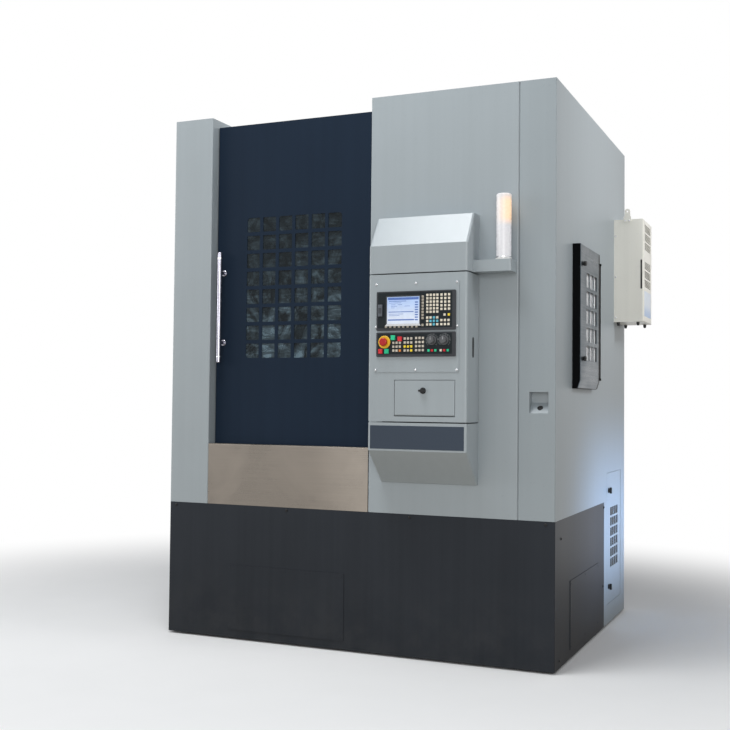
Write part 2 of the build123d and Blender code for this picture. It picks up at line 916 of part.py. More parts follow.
# Saddle: grooves over the column's ways behind, upright ram ways and the Z screw's pocket in front
with BuildPart() as saddle:
    with BuildSketch(level(saddle_bottom)):
        with Locations((home_x, saddle_face)):
            Rectangle(saddle_width, saddle_thickness, align=(Align.CENTER, Align.MIN))
    extrude(amount=saddle_height)
    with BuildSketch(facing_front(saddle_back)):
        with Locations((home_x, lower_way_height), (home_x, upper_way_height)):
            Rectangle(saddle_width, way_height + 2 * running_gap)
    extrude(amount=saddle_lap + running_gap, mode=Mode.SUBTRACT)
    with BuildSketch(level(saddle_bottom)):
        with Locations((home_x, saddle_face)):
            with GridLocations(ram_way_spacing, 0, 2, 1):
                Rectangle(ram_way_width, ram_way_depth, align=(Align.CENTER, Align.MAX))
    extrude(amount=saddle_height)
    with BuildSketch(facing_front(saddle_face)):
        with Locations((home_x, saddle_mid_z)):
            Rectangle(screw_pocket_width, saddle_height - 2 * screw_end_wall)
    extrude(amount=-screw_pocket_depth, mode=Mode.SUBTRACT)
    with BuildSketch(level(saddle_bottom + screw_end_recess)):
        with Locations((home_x, z_screw_y)):
            Circle(journal_radius + pivot_gap)
    extrude(amount=saddle_height, mode=Mode.SUBTRACT)
    with BuildSketch(facing_front(saddle_back)):
        with Locations((home_x, x_screw_z)):
            Rectangle(nut_length, nut_width)
    extrude(amount=saddle_back - column_front - nut_reach)
    with BuildSketch(facing_right(home_x - nut_length / 2)):
        with Locations((x_screw_y, x_screw_z)):
            Circle(screw_radius + running_gap)
    extrude(amount=nut_length, mode=Mode.SUBTRACT)
saddle.part.label = "saddle"
export_step(saddle.part, "parts/saddle.step")

# Z ball screw between the saddle's end walls
with BuildPart() as z_screw:
    with BuildSketch(level(saddle_bottom + screw_end_wall + running_gap)):
        with Locations((home_x, z_screw_y)):
            Circle(screw_radius)
    extrude(amount=saddle_height - 2 * screw_end_wall - 2 * running_gap)
    with BuildSketch(level(saddle_bottom + screw_end_recess + running_gap)):
        with Locations((home_x, z_screw_y)):
            Circle(journal_radius)
    extrude(amount=saddle_height - screw_end_recess + servo_shaft_seat - 2 * running_gap)
z_screw.part.label = "z_screw"
export_step(z_screw.part, "parts/z_screw.step")

# Z servo motor on top of the saddle
with BuildPart() as z_servo_motor:
    with BuildSketch(level(saddle_top)):
        with Locations((home_x, z_screw_y)):
            RectangleRounded(servo_size, servo_size, servo_corner)
    extrude(amount=servo_flange_thickness + servo_length - servo_cap_length)
    with BuildSketch(level(saddle_top + servo_flange_thickness + servo_length - servo_cap_length)):
        with Locations((home_x, z_screw_y)):
            RectangleRounded(servo_size - 2 * servo_cap_inset, servo_size - 2 * servo_cap_inset, servo_corner)
    extrude(amount=servo_cap_length)
    with BuildSketch(level(saddle_top)):
        with Locations((home_x, z_screw_y)):
            Circle(journal_radius + pivot_gap)
    extrude(amount=servo_shaft_seat, mode=Mode.SUBTRACT)
z_servo_motor.part.label = "z_servo_motor"
export_step(z_servo_motor.part, "parts/z_servo_motor.step")

# Ram: slides on the saddle and carries the turret's bored boss
with BuildPart() as ram:
    with BuildSketch(level(ram_bottom)):
        with Locations((home_x, ram_back)):
            Rectangle(ram_width, ram_thickness, align=(Align.CENTER, Align.MAX))
    extrude(amount=ram_height)
    fillet(ram.edges().filter_by(Axis.Z).group_by(Axis.Y)[0], radius=ram_corner)
    with BuildSketch(level(ram_bottom)):
        with Locations((home_x, ram_back)):
            with GridLocations(ram_way_spacing, 0, 2, 1):
                Rectangle(
                    ram_way_width + 2 * running_gap, ram_lap + running_gap, align=(Align.CENTER, Align.MAX)
                )
    extrude(amount=ram_height, mode=Mode.SUBTRACT)
    with BuildSketch(facing_front(ram_face)):
        with Locations((home_x, turret_z)):
            Circle(turret_boss_radius)
    extrude(amount=ram_face - turret_back - running_gap)
    with BuildSketch(facing_front(turret_back + running_gap)):
        with Locations((home_x, turret_z)):
            Circle(turret_shaft_radius)
    extrude(amount=-turret_shaft_length, mode=Mode.SUBTRACT)
    with BuildSketch(facing_front(ram_back)):
        with Locations((home_x, ram_mid_z)):
            Rectangle(nut_width, nut_length)
    extrude(amount=ram_back - saddle_face - nut_reach)
    with BuildSketch(level(ram_mid_z - nut_length / 2)):
        with Locations((home_x, z_screw_y)):
            Circle(screw_radius + running_gap)
    extrude(amount=nut_length, mode=Mode.SUBTRACT)
ram.part.label = "ram"
export_step(ram.part, "parts/ram.step")

# Turret disc: eight flats, front cap and the shaft that turns in the ram
with BuildPart() as turret_disc:
    with BuildSketch(facing_front(turret_back)):
        with Locations((home_x, turret_z)):
            RegularPolygon(
                turret_apothem,
                turret_station_count,
                major_radius=False,
                rotation=180 / turret_station_count,
            )
    extrude(amount=turret_thickness)
    chamfer(turret_disc.faces().sort_by(Axis.Y)[0].edges(), length=turret_chamfer)
    with BuildSketch(facing_front(turret_front)):
        with Locations((home_x, turret_z)):
            Circle(turret_cap_radius)
    extrude(amount=turret_cap_height)
    with BuildSketch(facing_front(turret_back)):
        with Locations((home_x, turret_z)):
            Circle(turret_shaft_radius - pivot_gap)
    extrude(amount=-turret_shaft_length)
turret_disc.part.label = "turret_disc"
export_step(turret_disc.part, "parts/turret_disc.step")

# Tool set: one clamping block with its shank on each flat
with BuildPart() as tool_set:
    with BuildSketch(facing_front(spindle_y)):
        with Locations((home_x, turret_z)):
            with PolarLocations(turret_apothem, turret_station_count):
                Rectangle(tool_block_height, tool_block_width, align=(Align.MIN, Align.CENTER))
    extrude(amount=tool_block_depth / 2, both=True)
    with BuildSketch(facing_front(spindle_y)):
        with Locations((home_x, turret_z)):
            with PolarLocations(turret_apothem + tool_block_height, turret_station_count):
                Rectangle(tool_reach, tool_shank, align=(Align.MIN, Align.CENTER))
    extrude(amount=tool_shank / 2, both=True)
tool_set.part.label = "tool_set"
export_step(tool_set.part, "parts/tool_set.step")

# Skirts: folded front sheet with corner returns, plain side sheets
skirt_height = plinth_height - skirt_gap
with BuildPart() as front_skirt:
    with BuildSketch(level(skirt_gap)):
        add(fold_section([
            (x_left, y_front + corner_return),
            (x_left, y_front),
            (x_right, y_front),
            (x_right, y_front + corner_return),
        ]))
    extrude(amount=skirt_height)
front_skirt.part.label = "front_skirt"
export_step(front_skirt.part, "parts/front_skirt.step")

with BuildPart() as left_skirt:
    with BuildSketch(level(skirt_gap)):
        with Locations((x_left, y_front + corner_return)):
            Rectangle(sheet, enclosure_depth - corner_return - sheet, align=low_corner)
    extrude(amount=skirt_height)
left_skirt.part.label = "left_skirt"
export_step(left_skirt.part, "parts/left_skirt.step")

with BuildPart() as right_skirt:
    with BuildSketch(level(skirt_gap)):
        with Locations((x_right - sheet, y_front + corner_return)):
            Rectangle(sheet, service_front - y_front - corner_return, align=low_corner)
    extrude(amount=skirt_height)
right_skirt.part.label = "right_skirt"
export_step(right_skirt.part, "parts/right_skirt.step")

# Inspection covers: two equal plates, one on the front skirt and one on the right skirt
with BuildPart() as skirt_covers:
    with BuildSketch(facing_front(y_front)):
        with Locations((x_left + front_cover_from_left + cover_length / 2, cover_bottom + cover_height / 2)):
            RectangleRounded(cover_length, cover_height, cover_corner)
    extrude(amount=sheet)
    with BuildSketch(facing_right(x_right)):
        with Locations((y_front + side_cover_from_front + cover_length / 2, cover_bottom + cover_height / 2)):
            RectangleRounded(cover_length, cover_height, cover_corner)
    extrude(amount=sheet)
skirt_covers.part.label = "skirt_covers"
export_step(skirt_covers.part, "parts/skirt_covers.step")

# Left pillar: a capped channel, open behind and below
with BuildPart() as left_pillar:
    with BuildSketch(level(plinth_height)):
        with Locations((x_left, y_front)):
            Rectangle(pillar_width, pillar_depth, align=low_corner)
    extrude(amount=wall_top - plinth_height)
    fillet(left_pillar.edges().filter_by(Axis.Z).group_by(Axis.Y)[0], radius=bend)
    open_faces = [left_pillar.faces().sort_by(Axis.Y)[-1], left_pillar.faces().sort_by(Axis.Z)[0]]
    offset(amount=-sheet, openings=open_faces)
left_pillar.part.label = "left_pillar"
export_step(left_pillar.part, "parts/left_pillar.step")

# Left wall
left_wall_front = y_front + pillar_depth
left_wall_rear = y_back - sheet
left_wall_width = left_wall_rear - left_wall_front
left_access_height = wall_top - access_margin - access_bottom
with BuildPart() as left_wall:
    with BuildSketch(level(plinth_height)):
        with Locations((x_left, left_wall_front)):
            Rectangle(sheet, left_wall_width, align=low_corner)
    extrude(amount=wall_top - plinth_height)
    with BuildSketch(facing_right(x_left)):
        with Locations(((left_wall_front + left_wall_rear) / 2, access_bottom + left_access_height / 2)):
            RectangleRounded(left_wall_width - 2 * access_margin, left_access_height, access_corner)
    extrude(amount=-access_thickness)
left_wall.part.label = "left_wall"
export_step(left_wall.part, "parts/left_wall.step")

# Rear wall with two columns of vent slots behind the cabinet
with BuildPart() as rear_wall:
    with BuildSketch(facing_front(y_back)):
        with Locations((x_left, skirt_gap)):
            Rectangle(enclosure_width, enclosure_height - skirt_gap, align=low_corner)
        with Locations((x_right - rear_slot_from_right, enclosure_height - rear_slot_from_top)):
            with GridLocations(
                rear_slot_length + rear_slot_pitch, rear_slot_pitch, rear_slot_columns, rear_slot_rows
            ):
                SlotOverall(rear_slot_length, rear_slot_height, mode=Mode.SUBTRACT)
    extrude(amount=sheet)
    for access_left, access_right, access_top in (
        (x_left + access_margin, cabinet_left - access_margin, enclosure_height - 2 * access_margin),
        (cabinet_left + access_margin, x_right - access_margin, enclosure_height - rear_access_top_margin),
    ):
        with BuildSketch(facing_front(y_back)):
            with Locations(((access_left + access_right) / 2, (access_bottom + access_top) / 2)):
                RectangleRounded(access_right - access_left, access_top - access_bottom, access_corner)
        extrude(amount=-access_thickness)
rear_wall.part.label = "rear_wall"
export_step(rear_wall.part, "parts/rear_wall.step")

# Roof: one sheet with a step, low over the chamber and high over the cabinet
with BuildPart() as roof_panel:
    with BuildSketch(facing_front(y_back - sheet)):
        add(fold_section(
            [
                (x_left + sheet, chamber_roof),
                (cabinet_left, chamber_roof),
                (cabinet_left, enclosure_height),
                (x_right, enclosure_height),
            ],
            Side.RIGHT,
        ))
    extrude(amount=enclosure_depth - sheet)
    with BuildSketch(facing_front(y_front + pillar_depth)):
        with Locations((x_left, chamber_roof - roof_step)):
            Rectangle(pillar_width, roof_under + roof_step - chamber_roof, align=low_corner)
    extrude(amount=pillar_depth, mode=Mode.SUBTRACT)
    with BuildSketch(facing_front(door_back + seam)):
        with Locations((x_left, chamber_roof - roof_step)):
            Rectangle(cabinet_left + bend - x_left, roof_under + roof_step - chamber_roof, align=low_corner)
    extrude(amount=door_back + seam - y_front, mode=Mode.SUBTRACT)
roof_panel.part.label = "roof_panel"
export_step(roof_panel.part, "parts/roof_panel.step")

# Stainless apron below the door: front, top flange and lip
with BuildPart() as apron:
    with BuildSketch(facing_right(pillar_inner + seam)):
        add(fold_section(
            [
                (y_front, plinth_height),
                (y_front, apron_top),
                (y_front + apron_flange, apron_top),
                (y_front + apron_flange, apron_top - apron_lip),
            ],
            Side.RIGHT,
        ))
    extrude(amount=cabinet_left - pillar_inner - 2 * seam)
apron.part.label = "apron"
export_step(apron.part, "parts/apron.step")

# Cabinet front: sheet with a deep left return and a shallow seam return
cabinet_height = roof_under - plinth_height
with BuildPart() as cabinet_front:
    with BuildSketch(level(plinth_height)):
        add(fold_section([
            (cabinet_left, y_front + cabinet_edge_return),
            (cabinet_left, y_front),
            (cabinet_seam - seam / 2, y_front),
            (cabinet_seam - seam / 2, y_front + seam_return),
        ]))
    extrude(amount=cabinet_height)
cabinet_front.part.label = "cabinet_front"
export_step(cabinet_front.part, "parts/cabinet_front.step")

# Cabinet side: corner strip and right wall folded from one sheet, cut for the recess and the service box
recess_left = x_right - recess_from_right
with BuildPart() as cabinet_side:
    with BuildSketch(level(plinth_height)):
        add(fold_section([
            (cabinet_seam + seam / 2, y_front + seam_return),
            (cabinet_seam + seam / 2, y_front),
            (x_right, y_front),
            (x_right, y_back - sheet),
        ]))
    extrude(amount=cabinet_height)
    with BuildSketch(facing_right(x_right - sheet)):
        with Locations((service_front, plinth_height)):
            Rectangle(service_from_back, service_height - plinth_height, align=low_corner)
    extrude(amount=sheet, mode=Mode.SUBTRACT)
    with BuildSketch(facing_front(y_front + sheet)):
        with Locations((recess_left, recess_bottom)):
            Rectangle(recess_width, recess_height, align=low_corner)
    extrude(amount=sheet, mode=Mode.SUBTRACT)
cabinet_side.part.label = "cabinet_side"
export_step(cabinet_side.part, "parts/cabinet_side.step")

# Holder cup behind the recess: open in front, slanted floor with a round hole
cup_front = y_front + sheet
cup_back = cup_front + recess_depth
cup_top = recess_bottom + recess_height
with BuildPart() as holder_cup:
    with BuildSketch(facing_right(recess_left - recess_wall)):
        add(outline(
            (cup_front, recess_bottom - recess_wall),
            (cup_back, recess_bottom + recess_slope_height - recess_wall),
            (cup_back, cup_top + recess_wall),
            (cup_front, cup_top + recess_wall),
        ))
    extrude(amount=recess_width + 2 * recess_wall)
    with BuildSketch(facing_right(recess_left)):
        add(outline(
            (cup_front, recess_bottom),
            (cup_back - recess_wall, recess_bottom + recess_slope_height),
            (cup_back - recess_wall, cup_top),
            (cup_front, cup_top),
        ))
    extrude(amount=recess_width, mode=Mode.SUBTRACT)
    with BuildSketch(level(recess_bottom - recess_wall)):
        with Locations((recess_left + recess_width / 2, (cup_front + cup_back) / 2)):
            Circle(recess_hole_radius)
    extrude(amount=recess_slope_height, mode=Mode.SUBTRACT)
holder_cup.part.label = "holder_cup"
export_step(holder_cup.part, "parts/holder_cup.step")

# Service compartment: box open behind and below, with the door's opening and its hinge lugs
service_left = x_right - service_inset
service_pin_x = x_right - service_door_thickness / 2
service_pin_y = service_door_rear - service_door_gap - service_door_thickness / 2
service_door_top = service_door_bottom + service_door_height
with BuildPart() as service_frame:
    with BuildSketch(level(skirt_gap)):
        with Locations((service_left, service_front)):
            Rectangle(service_inset, service_from_back - sheet, align=low_corner)
    extrude(amount=service_height - skirt_gap)
    open_faces = [service_frame.faces().sort_by(Axis.Y)[-1], service_frame.faces().sort_by(Axis.Z)[0]]
    offset(amount=-sheet, openings=open_faces)
    with BuildSketch(facing_right(x_right - sheet)):
        with Locations((service_door_front, service_door_bottom)):
            Rectangle(service_door_width, service_door_height, align=low_corner)
    extrude(amount=sheet, mode=Mode.SUBTRACT)
    for lug_bottom in (service_door_bottom - service_lug_height, service_door_top):
        with BuildSketch(level(lug_bottom)):
            with Locations((x_right - sheet, service_pin_y)):
                Rectangle(service_lug_size, service_lug_size, align=(Align.MAX, Align.CENTER))
            with Locations((service_pin_x, service_pin_y)):
                Circle(service_pin_radius + pivot_gap, mode=Mode.SUBTRACT)
        extrude(amount=service_lug_height)
service_frame.part.label = "service_frame"
export_step(service_frame.part, "parts/service_frame.step")

# Service door: shallow pan, rounded about its hinge pins, with vent slots and lock holes
pan_front = service_door_front + service_door_gap
pan_bottom = service_door_bottom + service_door_gap
pan_top = service_door_top - service_door_gap
lock_y = service_door_front + lock_from_edge
with BuildPart() as service_door:
    with BuildSketch(level(pan_bottom)):
        with Locations((x_right - service_door_thickness, pan_front)):
            Rectangle(
                service_door_thickness, service_door_width - 2 * service_door_gap, align=low_corner
            )
    extrude(amount=pan_top - pan_bottom)
    hinge_edges = service_door.edges().filter_by(Axis.Z).group_by(Axis.Y)[-1]
    fillet(hinge_edges, radius=service_door_thickness / 2 - pivot_gap)
    with BuildSketch(facing_right(x_right - service_door_thickness)):
        with Locations((pan_front + sheet, pan_bottom + sheet)):
            Rectangle(
                service_door_width - 2 * service_door_gap - service_door_thickness - sheet,
                pan_top - pan_bottom - 2 * sheet,
                align=low_corner,
            )
    extrude(amount=service_door_thickness - sheet, mode=Mode.SUBTRACT)
    with BuildSketch(facing_right(x_right - sheet)):
        with Locations((service_door_rear - vent_from_hinge, vent_mid_height)):
            with GridLocations(vent_pitch_y, vent_pitch_z, vent_columns, vent_rows):
                Rectangle(vent_width, vent_height)
        with Locations((lock_y, lower_lock_height), (lock_y, upper_lock_height)):
            Circle(latch_shaft_radius + pivot_gap)
    extrude(amount=sheet, mode=Mode.SUBTRACT)
    for pin_bottom in (pan_bottom - service_pin_length, pan_top):
        with BuildSketch(level(pin_bottom)):
            with Locations((service_pin_x, service_pin_y)):
                Circle(service_pin_radius)
        extrude(amount=service_pin_length)
service_door.part.label = "service_door"
export_step(service_door.part, "parts/service_door.step")

# Two quarter-turn locks in the service door: disc, bar, shaft and cam
for lock_name, lock_height in (("lower_lock", lower_lock_height), ("upper_lock", upper_lock_height)):
    lock_centre = (lock_y, lock_height)
    with BuildPart() as lock:
        with BuildSketch(facing_right(x_right + running_gap)):
            with Locations(lock_centre):
                Circle(latch_disc_radius)
        extrude(amount=latch_disc_height)
        with BuildSketch(facing_right(x_right + running_gap + latch_disc_height)):
            with Locations(lock_centre):
                SlotOverall(latch_bar_length, latch_bar_width, rotation=90)
        extrude(amount=latch_bar_height)
        with BuildSketch(facing_right(x_right + running_gap)):
            with Locations(lock_centre):
                Circle(latch_shaft_radius)
        extrude(amount=-(running_gap + sheet + latch_cam_setback + latch_cam_thickness))
        with BuildSketch(facing_right(x_right - sheet - latch_cam_setback)):
            with Locations(lock_centre):
                Rectangle(latch_cam_width, latch_cam_length, align=(Align.CENTER, Align.CENTER))
        extrude(amount=-latch_cam_thickness)
    lock.part.label = lock_name
    export_step(lock.part, f"parts/{lock_name}.step")

# Front door: pan with the cut window grid, open behind and at the foot
pan_width = door_right - door_left
with BuildPart() as door_panel:
    with BuildSketch(level(door_bottom)):
        with Locations((door_left, door_front)):
            Rectangle(pan_width, door_thickness, align=low_corner)
    extrude(amount=door_top - door_bottom)
    fillet(door_panel.edges().filter_by(Axis.Z).group_by(Axis.Y)[0], radius=bend)
    open_faces = [door_panel.faces().sort_by(Axis.Y)[-1], door_panel.faces().sort_by(Axis.Z)[0]]
    offset(amount=-sheet, openings=open_faces)
    with BuildSketch(level(door_bottom)):
        with Locations((door_left, door_front + bend)):
            Rectangle(pan_width, door_thickness, align=low_corner)
    extrude(amount=door_foot_notch, mode=Mode.SUBTRACT)
    with BuildSketch(facing_front(door_front + sheet)):
        with Locations((0, window_mid_height)):
            with GridLocations(cell_pitch, cell_pitch, window_columns, window_rows):
                RectangleRounded(cell_size, cell_size, cell_corner)
            RectangleRounded(
                window_columns * cell_pitch - cell_pitch + cell_size,
                window_rows * cell_pitch - cell_pitch + cell_size,
                window_corner,
                mode=Mode.INTERSECT,
            )
    extrude(amount=sheet, mode=Mode.SUBTRACT)
door_panel.part.label = "door_panel"
export_step(door_panel.part, "parts/door_panel.step")

# Window pane behind the grid
with BuildPart() as door_window:
    with BuildSketch(facing_front(door_front + sheet + pane_thickness)):
        with Locations((0, window_mid_height)):
            RectangleRounded(
                window_columns * cell_pitch + 2 * pane_margin,
                window_rows * cell_pitch + 2 * pane_margin,
                pane_margin,
            )
    extrude(amount=pane_thickness)
door_window.part.label = "door_window"
export_step(door_window.part, "parts/door_window.step")

# Pull handle: a round bar on two posts
handle_x = door_left + handle_from_edge
handle_y = door_front - handle_standoff
with BuildPart() as door_handle:
    with BuildSketch(level(handle_mid_height - handle_length / 2)):
        with Locations((handle_x, handle_y)):
            Circle(handle_radius)
    extrude(amount=handle_length)
    fillet(door_handle.edges().filter_by(GeomType.CIRCLE), radius=handle_rounding)
    with BuildSketch(facing_front(door_front)):
        with Locations((handle_x, handle_mid_height)):
            with GridLocations(0, post_spacing, 1, 2):
                Circle(post_radius)
    extrude(amount=handle_standoff)
door_handle.part.label = "door_handle"
export_step(door_handle.part, "parts/door_handle.step")

# Two hangers that hook the door over its upper rail
rail_back = rail_front + rail_depth
with BuildPart() as door_hangers:
    for hanger_x in (door_left + hanger_from_end, door_right - hanger_from_end):
        with BuildSketch(facing_right(hanger_x - hanger_width / 2)):
            add(outline(
                (door_front + sheet, rail_top - hanger_drop),
                (rail_front - running_gap, rail_top - hanger_drop),
                (rail_front - running_gap, rail_top + running_gap),
                (rail_back + running_gap, rail_top + running_gap),
                (rail_back + running_gap, rail_top - hanger_hook),
                (rail_back + running_gap + hanger_wall, rail_top - hanger_hook),
                (rail_back + running_gap + hanger_wall, rail_top + hanger_cap),
                (door_front + sheet, rail_top + hanger_cap),
            ))
        extrude(amount=hanger_width)
door_hangers.part.label = "door_hangers"
export_step(door_hangers.part, "parts/door_hangers.step")

# Door rails: upper bar that carries the hangers and lower guide inside the door's foot
guide_top = apron_top - guide_below_apron
rail_length = x_right - sheet - pillar_inner
with BuildPart() as door_rails:
    with BuildSketch(facing_right(pillar_inner)):
        with Locations((rail_front, rail_top - rail_height)):
            Rectangle(rail_depth, rail_height, align=low_corner)
        with Locations((door_front + guide_setback, guide_top - guide_height)):
            Rectangle(guide_thickness, guide_height, align=low_corner)
    extrude(amount=rail_length)
door_rails.part.label = "door_rails"
export_step(door_rails.part, "parts/door_rails.step")


def soften_front_corners(builder, radius):
    """Round the upright and slanting edges at both sides of a console shell's front."""
    sides = builder.edges().filter_by(lambda e: min(
        abs(e.center().X - console_left), abs(e.center().X - console_right)
    ) < running_gap)
    front = sides.filter_by(lambda e: e.center().Y < y_front - chin_foot - hood_slope / 4)
    fillet(front.filter_by(Axis.Y, reverse=True), radius=radius)


# Console hood: upright face and slanting top, open behind, bored below for the pivot pin
with BuildPart() as hood:
    with BuildSketch(facing_right(console_left)):
        add(outline(
            (y_front, hood_bottom),
            (console_front, hood_bottom),
            (console_front, hood_bottom + hood_face),
            (console_front + hood_slope, hood_bottom + hood_face + hood_rise),
            (y_front, hood_bottom + hood_face + hood_rise),
        ))
    extrude(amount=console_width)
    soften_front_corners(hood, console_corner)
    offset(amount=-sheet, openings=hood.faces().sort_by(Axis.Y)[-1:])
    with BuildSketch(level(hood_bottom)):
        with Locations((pivot_x, pivot_y)):
            Circle(pivot_pin_radius + pivot_gap)
    extrude(amount=sheet, mode=Mode.SUBTRACT)
hood.part.label = "hood"
export_step(hood.part, "parts/hood.step")

# Console chin: upright face and a slope back to the cabinet, open behind, bored above
with BuildPart() as chin:
    with BuildSketch(facing_right(console_left)):
        add(outline(
            (y_front, chin_top),
            (console_front, chin_top),
            (console_front, chin_top - chin_face),
            (y_front - chin_foot, chin_top - chin_face - chin_drop),
            (y_front, chin_top - chin_face - chin_drop),
        ))
    extrude(amount=console_width)
    soften_front_corners(chin, console_corner)
    offset(amount=-sheet, openings=chin.faces().sort_by(Axis.Y)[-1:])
    with BuildSketch(level(chin_top - sheet)):
        with Locations((pivot_x, pivot_y)):
            Circle(pivot_pin_radius + pivot_gap)
    extrude(amount=sheet, mode=Mode.SUBTRACT)
chin.part.label = "chin"
export_step(chin.part, "parts/chin.step")

# Console box: swings on two pins at its left rear edge, cut for the plate and the flap
box_height = box_top - box_bottom
plate_x = console_left + plate_left
with BuildPart() as console_box:
    with BuildSketch(level(box_bottom)):
        with Locations((console_left, console_front)):
            Rectangle(console_width, console_rear - console_front, align=low_corner)
    extrude(amount=box_height)
    fillet(console_box.edges().filter_by(Axis.Z).group_by(Axis.Y)[0], radius=console_corner)
    left_rear_edge = console_box.edges().filter_by(Axis.Z).group_by(Axis.Y)[-1].sort_by(Axis.X)[0]
    fillet(left_rear_edge, radius=pivot_inset)
    with BuildSketch(level(box_bottom + sheet)) as box_inside:
        with Locations((console_left + sheet, console_front + sheet)):
            Rectangle(console_width - 2 * sheet, console_rear - console_front - 2 * sheet, align=low_corner)
        fillet(box_inside.vertices().group_by(Axis.Y)[0], radius=console_corner - sheet)
        fillet(box_inside.vertices().group_by(Axis.Y)[-1].sort_by(Axis.X)[0], radius=pivot_inset - sheet)
        with Locations((pivot_x, console_rear - pivot_inset)):
            Rectangle(console_right - sheet - pivot_x, pivot_inset, align=low_corner)
    extrude(amount=box_height - 2 * sheet, mode=Mode.SUBTRACT)
    with BuildSketch(facing_front(console_front + sheet)):
        with Locations((plate_x + plate_overlap, plate_bottom + plate_overlap)):
            Rectangle(plate_width - 2 * plate_overlap, plate_height - 2 * plate_overlap, align=low_corner)
        with Locations((flap_x - flap_gap, flap_z - flap_gap)):
            Rectangle(flap_width + 2 * flap_gap, flap_height + 2 * flap_gap, align=low_corner)
    extrude(amount=sheet, mode=Mode.SUBTRACT)
    with BuildSketch(facing_right(console_right - sheet)):
        with Locations((console_front + grip_from_front, grip_mid)):
            SlotOverall(grip_length, grip_width, rotation=90)
    extrude(amount=sheet, mode=Mode.SUBTRACT)
    for pin_bottom in (box_bottom - console_gap - sheet - pivot_pin_reach, box_top):
        with BuildSketch(level(pin_bottom)):
            with Locations((pivot_x, pivot_y)):
                Circle(pivot_pin_radius)
        extrude(amount=console_gap + sheet + pivot_pin_reach)
    for lug_x in (flap_x - flap_gap - flap_lug_width, flap_x + flap_width + flap_gap):
        with BuildSketch(facing_right(lug_x)):
            with Locations((console_front + sheet, flap_pin_z)):
                Rectangle(flap_lug_size, flap_lug_size, align=(Align.MIN, Align.CENTER))
            with Locations((flap_pin_y, flap_pin_z)):
                Circle(flap_pin_radius + pivot_gap, mode=Mode.SUBTRACT)
        extrude(amount=flap_lug_width)
console_box.part.label = "console_box"
export_step(console_box.part, "parts/console_box.step")

# Screwed plate that carries both panels
housing_width = panel_width - 2 * panel_housing_inset
display_housing_height = display_height - 2 * panel_housing_inset
machine_housing_height = machine_height - 2 * panel_housing_inset
panel_mid_x = panel_x + panel_width / 2
display_mid_z = display_z + display_height / 2
machine_mid_z = machine_z + machine_height / 2
with BuildPart() as console_plate:
    with BuildSketch(facing_front(console_front)):
        with Locations((plate_x + plate_width / 2, plate_bottom + plate_height / 2)):
            RectangleRounded(plate_width, plate_height, plate_corner)
        with Locations((panel_mid_x, display_mid_z)):
            Rectangle(
                housing_width + 2 * panel_fit, display_housing_height + 2 * panel_fit, mode=Mode.SUBTRACT
            )
        with Locations((panel_mid_x, machine_mid_z)):
            Rectangle(
                housing_width + 2 * panel_fit, machine_housing_height + 2 * panel_fit, mode=Mode.SUBTRACT
            )
    extrude(amount=sheet)
console_plate.part.label = "console_plate"
export_step(console_plate.part, "parts/console_plate.step")

# Display unit: bezel, sunk screen, drive cover, key fields and rear housing
screen_left, screen_low, screen_right, screen_high = screen_shares
cover_left, cover_low, cover_right, cover_high = drive_cover_shares
with BuildPart() as display_unit:
    with BuildSketch(facing_front(plate_front)):
        with Locations((panel_mid_x, display_mid_z)):
            RectangleRounded(panel_width, display_height, panel_corner)
    extrude(amount=panel_bezel)
    with BuildSketch(facing_front(panel_front)):
        with Locations((panel_x + panel_width * screen_left, display_z + display_height * screen_low)):
            Rectangle(
                panel_width * (screen_right - screen_left),
                display_height * (screen_high - screen_low),
                align=low_corner,
            )
    extrude(amount=-screen_recess, mode=Mode.SUBTRACT)
    with BuildSketch(facing_front(panel_front)):
        with Locations((panel_x + panel_width * cover_left, display_z + display_height * cover_low)):
            Rectangle(
                panel_width * (cover_right - cover_left),
                display_height * (cover_high - cover_low),
                align=low_corner,
            )
    extrude(amount=drive_cover_height)
    with BuildSketch(facing_front(panel_front)):
        with Locations(*key_centres(display_key_shares, panel_x, display_z, panel_width, display_height)):
            Rectangle(key_size, key_size)
    extrude(amount=key_height)
    with BuildSketch(facing_front(plate_front)):
        with Locations((panel_mid_x, display_mid_z)):
            Rectangle(housing_width, display_housing_height)
    extrude(amount=-panel_housing_depth)
display_unit.part.label = "display_unit"
export_step(display_unit.part, "parts/display_unit.step")


def on_machine_panel(share):
    """Place on the machine panel from its share of the width and the height."""
    return (panel_x + panel_width * share[0], machine_z + machine_height * share[1])


